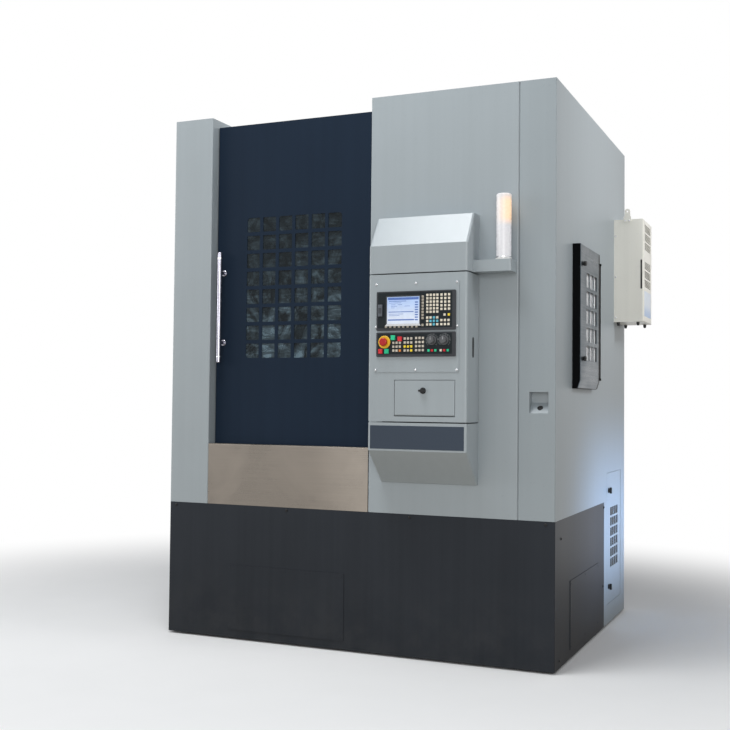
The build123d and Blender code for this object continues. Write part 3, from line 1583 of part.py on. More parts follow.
# Machine panel: bezel, key fields, square push keys, stop collar and rear housing
stop_place = on_machine_panel(stop_button_share)
feed_place = on_machine_panel(feed_knob_share)
speed_place = on_machine_panel(speed_knob_share)
with BuildPart() as machine_panel:
    with BuildSketch(facing_front(plate_front)):
        with Locations((panel_mid_x, machine_mid_z)):
            RectangleRounded(panel_width, machine_height, panel_corner)
    extrude(amount=panel_bezel)
    with BuildSketch(facing_front(panel_front)):
        with Locations(*key_centres(machine_key_shares, panel_x, machine_z, panel_width, machine_height)):
            Rectangle(key_size, key_size)
    extrude(amount=key_height)
    with BuildSketch(facing_front(panel_front)):
        with Locations(*[on_machine_panel(share) for share in machine_big_key_shares]):
            Rectangle(big_key_size, big_key_size)
    extrude(amount=big_key_height)
    with BuildSketch(facing_front(panel_front)):
        with Locations(stop_place):
            Circle(stop_collar_radius)
    extrude(amount=stop_collar_height)
    with BuildSketch(facing_front(plate_front)):
        with Locations((panel_mid_x, machine_mid_z)):
            Rectangle(housing_width, machine_housing_height)
    extrude(amount=-panel_housing_depth)
    with BuildSketch(facing_front(panel_front - stop_collar_height)):
        with Locations(stop_place):
            Circle(stop_shaft_radius + pivot_gap)
    extrude(amount=-(stop_collar_height + stop_shaft_length + stop_travel_room), mode=Mode.SUBTRACT)
    with BuildSketch(facing_front(panel_front)):
        with Locations(feed_place, speed_place):
            Circle(knob_shaft_radius + pivot_gap)
    extrude(amount=-(knob_shaft_length + running_gap), mode=Mode.SUBTRACT)
machine_panel.part.label = "machine_panel"
export_step(machine_panel.part, "parts/machine_panel.step")

# Emergency stop: mushroom head on a neck and a guided shaft
collar_front = panel_front - stop_collar_height
head_back = collar_front - stop_travel_room
with BuildPart() as stop_button:
    with BuildSketch(facing_front(head_back)):
        with Locations(stop_place):
            Circle(stop_head_radius)
    extrude(amount=stop_head_height)
    fillet(stop_button.faces().sort_by(Axis.Y)[0].edges(), radius=stop_head_rounding)
    with BuildSketch(facing_front(head_back)):
        with Locations(stop_place):
            Circle(stop_shaft_radius)
    extrude(amount=-(stop_travel_room + stop_collar_height + stop_shaft_length))
stop_button.part.label = "stop_button"
export_step(stop_button.part, "parts/stop_button.step")

# Two rotary switches: skirt, gripped knob and shaft
for knob_name, knob_place in (("feed_knob", feed_place), ("speed_knob", speed_place)):
    with BuildPart() as knob:
        with BuildSketch(facing_front(panel_front - running_gap)):
            with Locations(knob_place):
                Circle(knob_skirt_radius)
        extrude(amount=knob_skirt_height)
        with BuildSketch(facing_front(panel_front - running_gap - knob_skirt_height)):
            with Locations(knob_place):
                Circle(knob_radius)
                with PolarLocations(knob_radius, knob_grips):
                    Circle(knob_grip_radius, mode=Mode.SUBTRACT)
        extrude(amount=knob_height)
        with BuildSketch(facing_front(panel_front - running_gap)):
            with Locations(knob_place):
                Circle(knob_shaft_radius)
        extrude(amount=-(knob_shaft_length + running_gap))
    knob.part.label = knob_name
    export_step(knob.part, f"parts/{knob_name}.step")

# Flap: shallow pan rounded about its lower pins, bored for the latch
latch_place = (flap_x + latch_from_left, flap_z + flap_height - latch_from_top)
with BuildPart() as flap_door:
    with BuildSketch(facing_right(flap_x)):
        with Locations((console_front, flap_z)):
            Rectangle(flap_depth, flap_height, align=low_corner)
    extrude(amount=flap_width)
    fillet(flap_door.edges().filter_by(Axis.X).group_by(Axis.Z)[0], radius=flap_depth / 2 - pivot_gap)
    with BuildSketch(facing_front(console_front + flap_depth)):
        with Locations((flap_x + sheet, flap_z + flap_depth)):
            Rectangle(flap_width - 2 * sheet, flap_height - flap_depth - sheet, align=low_corner)
    extrude(amount=flap_depth - sheet, mode=Mode.SUBTRACT)
    with BuildSketch(facing_front(console_front + sheet)):
        with Locations(latch_place):
            Circle(latch_shaft_radius + pivot_gap)
    extrude(amount=sheet, mode=Mode.SUBTRACT)
    for pin_x in (flap_x - flap_pin_length, flap_x + flap_width):
        with BuildSketch(facing_right(pin_x)):
            with Locations((flap_pin_y, flap_pin_z)):
                Circle(flap_pin_radius)
        extrude(amount=flap_pin_length)
flap_door.part.label = "flap_door"
export_step(flap_door.part, "parts/flap_door.step")

# Flap latch: quarter-turn knob with its shaft and cam
with BuildPart() as flap_latch:
    with BuildSketch(facing_front(console_front - running_gap)):
        with Locations(latch_place):
            Circle(latch_disc_radius)
    extrude(amount=latch_disc_height)
    with BuildSketch(facing_front(console_front - running_gap - latch_disc_height)):
        with Locations(latch_place):
            SlotOverall(latch_bar_length, latch_bar_width)
    extrude(amount=latch_bar_height)
    with BuildSketch(facing_front(console_front - running_gap)):
        with Locations(latch_place):
            Circle(latch_shaft_radius)
    extrude(amount=-(running_gap + sheet + latch_cam_setback + latch_cam_thickness))
    with BuildSketch(facing_front(console_front + sheet + latch_cam_setback)):
        with Locations(latch_place):
            Rectangle(latch_cam_width, latch_cam_length)
    extrude(amount=-latch_cam_thickness)
flap_latch.part.label = "flap_latch"
export_step(flap_latch.part, "parts/flap_latch.step")

# Tower-light bracket: box open towards the cabinet
with BuildPart() as lamp_bracket:
    with BuildSketch(level(hood_bottom)):
        with Locations((console_right, y_front - bracket_depth)):
            Rectangle(bracket_length, bracket_depth, align=low_corner)
    extrude(amount=bracket_height)
    fillet(lamp_bracket.edges().filter_by(Axis.Z).group_by(Axis.Y)[0].sort_by(Axis.X)[-1], radius=bend)
    offset(amount=-sheet, openings=lamp_bracket.faces().sort_by(Axis.Y)[-1:])
lamp_bracket.part.label = "lamp_bracket"
export_step(lamp_bracket.part, "parts/lamp_bracket.step")

# Lamp base and tube
lamp_x = console_right + bracket_length - lamp_from_bracket_end
lamp_y = y_front - lamp_from_cabinet
lamp_bottom = hood_bottom + bracket_height
with BuildPart() as lamp_base:
    with BuildSketch(level(lamp_bottom)):
        with Locations((lamp_x, lamp_y)):
            Circle(lamp_base_radius)
    extrude(amount=lamp_base_height)
lamp_base.part.label = "lamp_base"
export_step(lamp_base.part, "parts/lamp_base.step")

with BuildPart() as lamp_tube:
    with BuildSketch(level(lamp_bottom + lamp_base_height)):
        with Locations((lamp_x, lamp_y)):
            Circle(lamp_radius)
    extrude(amount=lamp_height)
    fillet(lamp_tube.faces().sort_by(Axis.Z)[-1].edges(), radius=lamp_dome)
    offset(amount=-sheet, openings=lamp_tube.faces().sort_by(Axis.Z)[:1])
lamp_tube.part.label = "lamp_tube"
export_step(lamp_tube.part, "parts/lamp_tube.step")

# Filter frame: framed mat with a slanted foot and two hinge ears behind
filter_barrel_bottom = filter_bottom + filter_barrel_inset
filter_barrel_top = filter_top - filter_barrel_inset
with BuildPart() as filter_frame:
    with BuildSketch(facing_front(filter_rear)):
        add(outline(
            (x_right, filter_bottom),
            (filter_face - filter_lip_slope, filter_bottom),
            (filter_face, filter_bottom + filter_lip_height),
            (filter_face, filter_top),
            (x_right, filter_top),
        ))
    extrude(amount=filter_length)
    with BuildSketch(facing_right(filter_face)):
        with Locations((filter_front + mat_border, filter_bottom + filter_lip_height + mat_border)):
            Rectangle(
                filter_length - 2 * mat_border,
                filter_height - filter_lip_height - 2 * mat_border,
                align=low_corner,
            )
    extrude(amount=-mat_recess, mode=Mode.SUBTRACT)
    for ear_bottom in (
        filter_barrel_bottom - filter_ear_height - running_gap,
        filter_barrel_top + running_gap,
    ):
        with BuildSketch(level(ear_bottom)):
            with Locations((filter_hinge_x, filter_rear)):
                Rectangle(
                    2 * filter_barrel_behind, 2 * filter_barrel_behind, align=(Align.CENTER, Align.MIN)
                )
            with Locations((filter_hinge_x, filter_hinge_y)):
                Circle(filter_pin_radius + pivot_gap, mode=Mode.SUBTRACT)
        extrude(amount=filter_ear_height)
filter_frame.part.label = "filter_frame"
export_step(filter_frame.part, "parts/filter_frame.step")

# Filter cover: slotted sheet with a slanted lip, rolled round its hinge barrel
cover_face = filter_face + running_gap + sheet
with BuildPart() as filter_cover:
    with BuildSketch(facing_front(filter_hinge_y)):
        add(fold_section(
            [
                (cover_face, filter_top - filter_cover_inset),
                (cover_face, filter_bottom + filter_lip_height - filter_cover_inset),
                (cover_face - filter_lip_slope + filter_lip_room, filter_bottom + filter_cover_inset),
            ],
            Side.RIGHT,
        ))
    extrude(amount=filter_hinge_y - filter_front)
    with BuildSketch(facing_right(cover_face - sheet)):
        with Locations((filter_front + filter_slot_from_front, filter_slot_mid)):
            with GridLocations(
                filter_slot_pitch_y, filter_slot_pitch_z, filter_slot_columns, filter_slot_rows
            ):
                Rectangle(filter_slot_width, filter_slot_height)
    extrude(amount=sheet, mode=Mode.SUBTRACT)
    with BuildSketch(facing_right(cover_face - filter_depth)):
        for gap_bottom, gap_top in (
            (filter_bottom, filter_barrel_bottom),
            (filter_barrel_top, filter_top),
        ):
            with Locations((filter_rear - filter_ear_room, gap_bottom)):
                Rectangle(filter_barrel_behind + overrun, gap_top - gap_bottom, align=low_corner)
    extrude(amount=filter_depth, mode=Mode.SUBTRACT)
    with BuildSketch(level(filter_barrel_bottom)):
        with Locations((filter_hinge_x, filter_hinge_y)):
            Circle(filter_barrel_radius)
    extrude(amount=filter_barrel_top - filter_barrel_bottom)
    with BuildSketch(level(filter_barrel_bottom - filter_ear_height)):
        with Locations((filter_hinge_x, filter_hinge_y)):
            Circle(filter_pin_radius)
    extrude(amount=filter_barrel_top - filter_barrel_bottom + 2 * filter_ear_height)
filter_cover.part.label = "filter_cover"
export_step(filter_cover.part, "parts/filter_cover.step")

# Cooling unit case with its lifting lug
cooler_top = cooler_bottom + cooler_height
lug_x = x_right + lug_from_wall
with BuildPart() as cooler_case:
    with BuildSketch(level(cooler_bottom)):
        with Locations((x_right, cooler_front)):
            Rectangle(cooler_case_depth, cooler_width, align=low_corner)
    extrude(amount=cooler_height)
    offset(amount=-sheet, openings=cooler_case.faces().sort_by(Axis.X)[:1])
    with BuildSketch(facing_front(cooler_front)):
        with Locations((lug_x, cooler_top)):
            Rectangle(lug_plate_width, lug_plate_height)
    extrude(amount=lug_plate_thickness)
    with BuildSketch(facing_front(cooler_front)):
        with Locations((lug_x, cooler_top)):
            Rectangle(
                lug_plate_height, lug_plate_height / 2 + lug_stem, align=(Align.CENTER, Align.MIN)
            )
    extrude(amount=lug_plate_thickness)
    with BuildSketch(facing_front(cooler_front)):
        with Locations((lug_x, cooler_top + lug_plate_height / 2 + lug_stem + lug_eye_radius)):
            Circle(lug_eye_radius + lug_eye_wire / 2)
            Circle(lug_eye_radius - lug_eye_wire / 2, mode=Mode.SUBTRACT)
    extrude(amount=lug_plate_thickness)
cooler_case.part.label = "cooler_case"
export_step(cooler_case.part, "parts/cooler_case.step")

# Cooling unit front with two fields of slatted grilles
cooler_face = x_right + cooler_case_depth + cooler_front_depth
slat_pitch = grille_panel_height / grille_slats
with BuildPart() as cooler_grille:
    with BuildSketch(facing_right(x_right + cooler_case_depth)):
        with Locations((cooler_front, cooler_bottom)):
            Rectangle(cooler_width, cooler_height, align=low_corner)
    extrude(amount=cooler_front_depth)
    fillet(cooler_grille.faces().sort_by(Axis.X)[-1].edges(), radius=cooler_corner)
    with BuildSketch(facing_right(cooler_face)):
        for field_from_top in (upper_grille_from_top, lower_grille_from_top):
            with Locations((cooler_front + cooler_width / 2, cooler_top - field_from_top)):
                with GridLocations(0, grille_panel_pitch, 1, grille_panels):
                    with GridLocations(0, slat_pitch, 1, grille_slats):
                        Rectangle(cooler_width - 2 * grille_margin, grille_slat_gap)
    extrude(amount=-grille_depth, mode=Mode.SUBTRACT)
cooler_grille.part.label = "cooler_grille"
export_step(cooler_grille.part, "parts/cooler_grille.step")
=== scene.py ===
"""Looks of a vertical turning lathe: finishes, fittings and studio round its packed frame, in metres."""
import math

import bpy
import numpy as np
from bpy.props import FloatProperty, FloatVectorProperty, PointerProperty
from mathutils import Matrix, Vector


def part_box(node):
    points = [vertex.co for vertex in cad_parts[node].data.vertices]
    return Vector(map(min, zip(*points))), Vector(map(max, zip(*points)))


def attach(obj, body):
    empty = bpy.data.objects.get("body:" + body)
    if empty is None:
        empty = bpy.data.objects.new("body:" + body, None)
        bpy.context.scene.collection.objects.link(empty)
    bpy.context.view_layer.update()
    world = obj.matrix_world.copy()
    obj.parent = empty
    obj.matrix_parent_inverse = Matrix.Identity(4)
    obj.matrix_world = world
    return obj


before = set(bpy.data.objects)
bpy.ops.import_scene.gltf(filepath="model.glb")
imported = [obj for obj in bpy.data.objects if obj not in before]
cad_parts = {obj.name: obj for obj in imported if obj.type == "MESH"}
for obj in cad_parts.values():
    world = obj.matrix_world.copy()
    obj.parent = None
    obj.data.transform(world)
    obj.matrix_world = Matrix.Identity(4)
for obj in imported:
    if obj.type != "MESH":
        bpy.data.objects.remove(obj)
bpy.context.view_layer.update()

bl_info = {
    "name": "Vertical Turning Lathe Looks",
    "version": (1, 0, 0),
    "blender": (4, 5, 0),
    "location": "View3D > Sidebar > Lathe",
    "description": "Finishes, fittings and studio for a fully enclosed vertical turning lathe",
    "category": "Object",
}


# Properties

def display(red, green, blue):
    """Scene-linear colour of an 8-bit display colour, by the sRGB curve."""
    share = np.array([red, green, blue]) / 255
    linear = np.where(share <= 0.04045, share / 12.92, ((share + 0.055) / 1.055) ** 2.4)
    return tuple(float(part) for part in linear)


def tone(name, text, red, green, blue):
    """Colour property whose default is an 8-bit display colour."""
    return FloatVectorProperty(
        name=name, description=text, subtype="COLOR", size=3, min=0.0, max=1.0,
        default=display(red, green, blue),
    )


def size(name, text, metres):
    """Length property in metres."""
    return FloatProperty(name=name, description=text, unit="LENGTH", min=0.0, default=metres)


def watts(name, text, power):
    """Light power property in watts."""
    return FloatProperty(name=name, description=text, unit="POWER", min=0.0, default=power)


def plain(name, text, value, least):
    """Number property with a least value."""
    return FloatProperty(name=name, description=text, min=least, default=value)


class LathePaints(bpy.types.PropertyGroup):
    """Colours of the painted and bare sheet metal."""

    cabinet: tone("Cabinet", "Satin grey of the enclosure and the console", 153, 162, 167)
    skirt: tone("Skirt", "Charcoal of the base sheets and their covers", 42, 46, 52)
    door: tone("Door", "Dark navy of the sliding door", 26, 38, 53)
    strip: tone("Strip", "Slate blue of the plate on the chin", 48, 59, 73)
    cooler: tone("Cooler", "Ivory of the cooling unit", 236, 235, 227)
    apron: tone("Apron", "Cloudy stainless steel below the door", 134, 127, 119)
    steel: tone("Steel", "Bright machined steel", 178, 180, 184)
    casting: tone("Casting", "Enamel of the bed, column, saddle and ram", 139, 148, 150)
    motors: tone("Motors", "Dark enamel of the motors", 38, 40, 44)


class LathePanelTones(bpy.types.PropertyGroup):
    """Colours of the console's plastics and lamps."""

    panel: tone("Panel", "Charcoal bezel of the display unit and the machine panel", 58, 60, 64)
    field: tone("Panel field", "Near-black field inside the panels' bezels", 22, 29, 33)
    knob: tone("Knobs", "Grey of the rotary switches", 86, 88, 91)
    ivory: tone("Ivory keys", "Key caps of the display unit", 222, 215, 199)
    stone: tone("Stone keys", "Key caps of the machine panel", 198, 190, 177)
    soft: tone("Soft keys", "Keys round the screen", 168, 161, 148)
    yellow: tone("Yellow keys", "Yellow key caps", 242, 212, 58)
    collar: tone("Stop collar", "Yellow ring round the stop button", 234, 186, 52)
    blue: tone("Blue keys", "Cursor key caps", 96, 178, 200)
    green: tone("Green keys", "Start key caps", 44, 208, 154)
    red: tone("Red keys", "Stop key caps", 208, 44, 52)
    mushroom: tone("Mushroom", "Head of the stop button", 176, 22, 22)
    orange: tone("Orange key", "Single orange key cap", 214, 132, 62)
    black: tone("Black plastic", "Knobs, latches and feet", 18, 19, 21)
    glow: tone("Lamp glow", "Warm upper part of the tower light", 255, 196, 140)
    pane: tone("Screen", "Pale blue of the lit screen", 182, 208, 250)
    ink: tone("Screen marks", "Bars drawn on the screen", 66, 92, 150)


class LatheFittingSizes(bpy.types.PropertyGroup):
    """Sizes of the small fittings."""

    screw: size("Screw head", "Radius of the sheet-metal screws", 0.0072)
    plate_screw: size("Plate screw", "Radius of the console plate's screws", 0.0060)
    key: size("Key cap", "Width of a small key cap at its foot", 0.0116)
    key_rise: size("Key rise", "Height of a small key cap over the panel", 0.0026)
    big_key: size("Push key", "Width of a square push key", 0.0208)
    big_key_rise: size("Push key rise", "Height of a push key over the panel", 0.0066)
    collar: size("Stop collar", "Outer radius of the stop collar", 0.0318)
    dial: size("Dial", "Outer radius of the marks round a rotary switch", 0.0325)
    thumb_knob: size("Thumb knob", "Radius of the filter cover's thumb knobs", 0.0125)
    rosette: size("Rosette", "Radius of the discs under the handle's posts", 0.0175)
    foot: size("Cooler foot", "Radius of the cooling unit's feet", 0.0095)


class LatheStageSettings(bpy.types.PropertyGroup):
    """Light and floor of the studio."""

    floor: tone("Floor", "Plain pale floor", 243, 243, 243)
    bounce: tone("Bounce", "Warm light the floor throws back on the machine", 204, 195, 183)
    ambient: plain("Ambient", "Strength of the surrounding light", 0.34, 0.0)
    key: watts("Key", "Softbox on the far left", 58.0)
    top: watts("Top", "Overhead softbox", 164.0)
    fill: watts("Fill", "Softbox beside the camera", 112.0)
    side: watts("Side", "Narrow beam high on the right", 14.5)
    cool: watts("Cool", "Blue beam low on the right", 7.5)
    edge: watts("Edge", "Narrow softbox on the left", 40.0)
    lens: plain("Lens", "Focal length on a 36 mm sensor", 53.37, 1.0)


# Surfaces

SHARP_ANGLE = math.radians(32)
FACES = {
    "front": ((1, 0, 0), (0, 0, 1), (0, -1, 0)),
    "back": ((-1, 0, 0), (0, 0, 1), (0, 1, 0)),
    "right": ((0, 1, 0), (0, 0, 1), (1, 0, 0)),
    "left": ((0, -1, 0), (0, 0, 1), (-1, 0, 0)),
    "top": ((1, 0, 0), (0, 1, 0), (0, 0, 1)),
    "under": ((1, 0, 0), (0, -1, 0), (0, 0, -1)),
}


def corners(node):
    """Lowest and highest corner of a frame node as two rows of an array."""
    return np.array([list(corner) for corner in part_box(node)])


def rounded(width, height, corner, steps=3):
    """Rounded rectangle, counter-clockwise: a quarter arc about each of the four corner centres."""
    angle = np.linspace(0, np.pi / 2, steps + 1) + np.pi / 2 * np.arange(4)[:, None]
    right = np.array([1, -1, -1, 1])[:, None] * (width / 2 - corner) + corner * np.cos(angle)
    up = np.array([1, 1, -1, -1])[:, None] * (height / 2 - corner) + corner * np.sin(angle)
    return np.stack([right.ravel(), up.ravel()], axis=-1)


def polar(angle, reach):
    """Points at distances from the centre: each distance times the cosine and sine of its angle."""
    return np.stack([reach * np.cos(angle), reach * np.sin(angle)], axis=-1)


def turns(count):
    """Equal angles round one turn."""
    return 2 * np.pi * np.arange(count) / count


def circle(radius, count=24):
    """Circle, counter-clockwise: one radius at equal angles."""
    return polar(turns(count), radius)


def hexagon(apothem, count=24):
    """Hexagon in polar form: the apothem over the cosine of the angle from the nearest flat."""
    angle = turns(count)
    return polar(angle, apothem / np.cos(np.mod(angle, np.pi / 3) - np.pi / 6))


def fluted(radius, depth, flutes, count=72):
    """Gripped circle: the radius less a raised cosine of the flutes' angle."""
    angle = turns(count)
    return polar(angle, radius - depth * (0.5 + 0.5 * np.cos(flutes * angle)) ** 2)


def rise(*levels):
    """Outlines at heights: each level is an outline and its height, stacked as rings of local points."""
    return np.stack([
        np.concatenate([outline, np.full((len(outline), 1), height)], axis=-1) for outline, height in levels
    ])


def discs(count, *levels):
    """Turned shape: circles, each level a radius and its height."""
    return rise(*((circle(radius, count), height) for radius, height in levels))


def squares(*levels):
    """Stacked rounded squares, each level a width, a corner radius and a height."""
    return rise(*((rounded(width, width, corner), height) for width, corner, height in levels))


def plate(width, height, thickness, corner, bevel):
    """Bevelled plate: a rounded rectangle carried up its edge and drawn in over the bevel."""
    return rise(
        (rounded(width, height, corner), 0),
        (rounded(width, height, corner), thickness - bevel),
        (rounded(width - 2 * bevel, height - 2 * bevel, max(corner - bevel, bevel / 4)), thickness),
    )


def socket_screw(radius, height):
    """Button head: a circle drawn in over a rounded rim, then a hexagon sunk into its top."""
    return rise(
        (circle(radius), 0),
        (circle(radius), 0.35 * height),
        (circle(0.92 * radius), 0.7 * height),
        (circle(0.72 * radius), 0.95 * height),
        (circle(0.58 * radius), height),
        (hexagon(0.42 * radius), height),
        (hexagon(0.40 * radius), 0.35 * height),
    )


def band(inner, outer, height, bevel, count=48):
    """Closed ring: outer wall, bevelled top and inner wall carried round a circle."""
    return discs(
        count, (outer, 0), (outer, height - bevel), (outer - bevel, height), (inner + bevel, height),
        (inner, height - bevel), (inner, 0),
    )


def spin(local, angle):
    """Copies turned about the outward direction: right and up parts by each angle's cosine and sine."""
    cosine, sine = np.cos(angle)[:, None, None], np.sin(angle)[:, None, None]
    right, up, out = local[..., 0], local[..., 1], local[..., 2]
    turned_round = np.broadcast_arrays(right * cosine - up * sine, right * sine + up * cosine, out)
    return np.stack(turned_round, axis=-1)


def spots(*columns):
    """Rows of centres from columns of numbers, each broadcast to the longest."""
    return np.stack(np.broadcast_arrays(*[np.asarray(column, float) for column in columns]), axis=-1)


def grid(across, up):
    """Two columns of numbers that pair every one across with every one up."""
    return (part.ravel() for part in np.meshgrid(across, up))


def lay(local, face, centres):
    """World points: every centre plus the local right, up and out parts along a face's three directions."""
    basis = np.array(FACES[face] if isinstance(face, str) else face, float)
    rings = local if local.ndim == 4 else local[None]
    return np.atleast_2d(np.asarray(centres, float))[:, None, None, :] + rings @ basis


def ring_faces(copies, rows, columns, closed):
    """Quads between neighbouring rings of every copy, and end caps unless the rings close on themselves."""
    first = np.arange(copies)[:, None, None] * rows * columns
    row = np.arange(rows if closed else rows - 1)[:, None]
    column = np.arange(columns)[None, :]
    here, above = row * columns, (row + 1) % rows * columns
    after = (column + 1) % columns
    quad = np.stack([here + column, here + after, above + after, above + column], -1)
    faces = (first[..., None] + quad[None]).reshape(-1, 4).tolist()
    if not closed:
        cap = np.arange(columns)
        faces += (first[:, :, 0] + cap[::-1]).tolist()
        faces += (first[:, :, 0] + (rows - 1) * columns + cap).tolist()
    return faces


def piece(name, shape, face, columns, look, body, slot, closed=False):
    """One mesh of a ringed shape at every centre, smooth except at its sharp edges, riding on a body."""
    points = lay(shape, face, spots(*columns))
    copies, rows, columns = points.shape[:3]
    mesh = bpy.data.meshes.new(name)
    mesh.from_pydata(points.reshape(-1, 3), [], ring_faces(copies, rows, columns, closed))
    mesh.polygons.foreach_set("use_smooth", np.ones(len(mesh.polygons), dtype=bool))
    mesh.set_sharp_from_angle(angle=SHARP_ANGLE)
    mesh.materials.append(bpy.data.materials[look])
    made = bpy.data.objects.new(name, mesh)
    bpy.context.scene.collection.objects.link(made)
    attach(made, body)


# Look, body and slot of like pieces
BLACK_ON_FRAME = ("black_plastic", "frame", "black_plastic")
STEEL_ON_FRAME = ("screw_steel", "frame", "machined_steel")


# Shader graphs

class Graph:
    """A node tree with short calls that add nodes and join or set inputs, and its last node's inputs."""

    def __init__(self, tree, last):
        self.tree = tree
        self.last = last

    def join(self, value, socket):
        if isinstance(value, bpy.types.NodeSocket):
            self.tree.links.new(value, socket)
        else:
            socket.default_value = value

    def feed(self, **values):
        """Join or set inputs of the last node, named with underscores for spaces."""
        for label, value in values.items():
            self.join(value, self.last[label.replace("_", " ")])

    def add(self, kind, values=None, **settings):
        made = self.tree.nodes.new(kind)
        for field, value in settings.items():
            setattr(made, field, value)
        for key, value in (values or {}).items():
            self.join(value, made.inputs[key])
        return made.outputs

    def place(self):
        return self.add("ShaderNodeTexCoord")["Object"]

    def parts(self, vector):
        return self.add("ShaderNodeSeparateXYZ", {"Vector": vector})

    def stretch(self, vector, scale, location=(0, 0, 0), rotation=(0, 0, 0)):
        values = {"Vector": vector, "Scale": scale, "Location": location, "Rotation": rotation}
        return self.add("ShaderNodeMapping", values)[0]

    def noise(self, vector, scale, detail=3.0, rough=0.5, warp=0.0):
        values = {"Vector": vector, "Scale": scale, "Detail": detail, "Roughness": rough, "Distortion": warp}
        return self.add("ShaderNodeTexNoise", values)[0]

    def calc(self, operation, first, second=0.0, clamp=False):
        return self.add("ShaderNodeMath", {0: first, 1: second}, operation=operation, use_clamp=clamp)[0]

    def times(self, first, second):
        return self.calc("MULTIPLY", first, second)

    def plus(self, first, second, clamp=False):
        return self.calc("ADD", first, second, clamp)

    def less(self, first, second):
        return self.calc("SUBTRACT", first, second)

    def most(self, first, second):
        return self.calc("MAXIMUM", first, second)

    def wave(self, value, pitch):
        return self.calc("SINE", self.times(value, 2 * math.pi / pitch))

    def length(self, vector):
        return self.add("ShaderNodeVectorMath", {0: vector}, operation="LENGTH")["Value"]

    def ramp(self, value, low, high, to_low=0.0, to_high=1.0):
        values = {0: value, 1: low, 2: high, 3: to_low, 4: to_high}
        return self.add("ShaderNodeMapRange", values, clamp=True, interpolation_type="SMOOTHSTEP")[0]

    def between(self, value, low, high, soft=0.0005):
        above = self.ramp(value, low - soft, low + soft)
        return self.times(above, self.ramp(value, high - soft, high + soft, 1.0, 0.0))

    def mix(self, factor, first, second):
        return self.add("ShaderNodeMix", {0: factor, 6: first, 7: second}, data_type="RGBA")[2]

    def shade(self, colour, value):
        vector = colour if isinstance(colour, bpy.types.NodeSocket) else tuple(colour)[:3]
        return self.add("ShaderNodeVectorMath", {0: vector, "Scale": value}, operation="SCALE")[0]

    def bump(self, height, strength, distance):
        return self.add("ShaderNodeBump", {"Height": height, "Strength": strength, "Distance": distance})[0]

    def effect(self, name, **values):
        return self.add("ShaderNodeGroup", values, node_tree=bpy.data.node_groups[name])


def solid(colour):
    """Colour with full alpha for a colour socket."""
    return tuple(colour)[:3] + (1.0,)


def shown(red, green, blue):
    """Display colour with full alpha for a colour socket."""
    return solid(display(red, green, blue))


def new_effect(name, **inputs):
    """Empty node group with the given inputs and the outputs Color, Roughness and Height."""
    tree = bpy.data.node_groups.new(name, "ShaderNodeTree")
    for label, default in inputs.items():
        kind = {3: "Vector", 4: "Color"}[len(default)] if isinstance(default, tuple) else "Float"
        made = tree.interface.new_socket(name=label, in_out="INPUT", socket_type="NodeSocket" + kind)
        made.default_value = default
    for label, kind in (("Color", "Color"), ("Roughness", "Float"), ("Height", "Float")):
        tree.interface.new_socket(name=label, in_out="OUTPUT", socket_type="NodeSocket" + kind)
    given = tree.nodes.new("NodeGroupInput").outputs
    return Graph(tree, tree.nodes.new("NodeGroupOutput").inputs), given


def make_paint_film():
    """Sprayed paint: broad cloudy tone, faint upright streaks, dust towards the floor and orange peel."""
    graph, given = new_effect(
        "paint_film", Color=(0.5, 0.5, 0.5, 1), Mottle=0.05, Streaks=0.03, Dust=0.1, Gloss=0.4
    )
    where = graph.place()
    clouds = graph.ramp(graph.noise(where, 1.7, 2.0, 0.45), 0.2, 0.8, -1.0, 1.0)
    runs = graph.ramp(graph.noise(graph.stretch(where, (26, 26, 0.7)), 1.0, 3.0), 0.3, 0.7, -1.0, 1.0)
    specks = graph.ramp(graph.noise(where, 95.0, 2.0), 0.66, 0.74, 0.0, 0.05)
    value = graph.plus(graph.times(clouds, given["Mottle"]), 1.0)
    value = graph.less(graph.plus(graph.times(runs, given["Streaks"]), value), specks)
    low = graph.ramp(graph.parts(where)["Z"], 0.0, 0.5, 1.0, 0.0)
    settled = graph.times(low, graph.ramp(graph.noise(where, 6.5, 5.0, 0.62), 0.36, 0.72))
    settled = graph.times(settled, given["Dust"])
    rough = graph.plus(given["Gloss"], graph.times(clouds, 0.02))
    graph.feed(
        Color=graph.mix(settled, graph.shade(given["Color"], value), shown(150, 148, 142)),
        Roughness=graph.plus(rough, graph.times(settled, 0.5), clamp=True),
        Height=graph.noise(where, 380.0, 2.0, 0.45),
    )


def make_brushed_grain():
    """Brushed metal: fine noise drawn out along the brushing, with cloudy handling marks over it."""
    graph, given = new_effect(
        "brushed_grain", Vector=(0, 0, 0), Color=(0.6, 0.6, 0.6, 1), Contrast=0.2, Clouds=0.15, Gloss=0.3
    )
    lines = graph.ramp(graph.noise(given["Vector"], 1.0, 5.0, 0.6), 0.25, 0.75, -1.0, 1.0)
    clouds = graph.ramp(graph.noise(graph.place(), 3.1, 4.0, 0.6, 0.8), 0.3, 0.7, -1.0, 1.0)
    value = graph.plus(graph.times(lines, given["Contrast"]), 1.0)
    value = graph.plus(graph.times(clouds, given["Clouds"]), value)
    rough = graph.plus(given["Gloss"], graph.times(lines, 0.06))
    graph.feed(
        Color=graph.shade(given["Color"], value),
        Roughness=graph.plus(rough, graph.times(clouds, 0.07), clamp=True),
        Height=lines,
    )


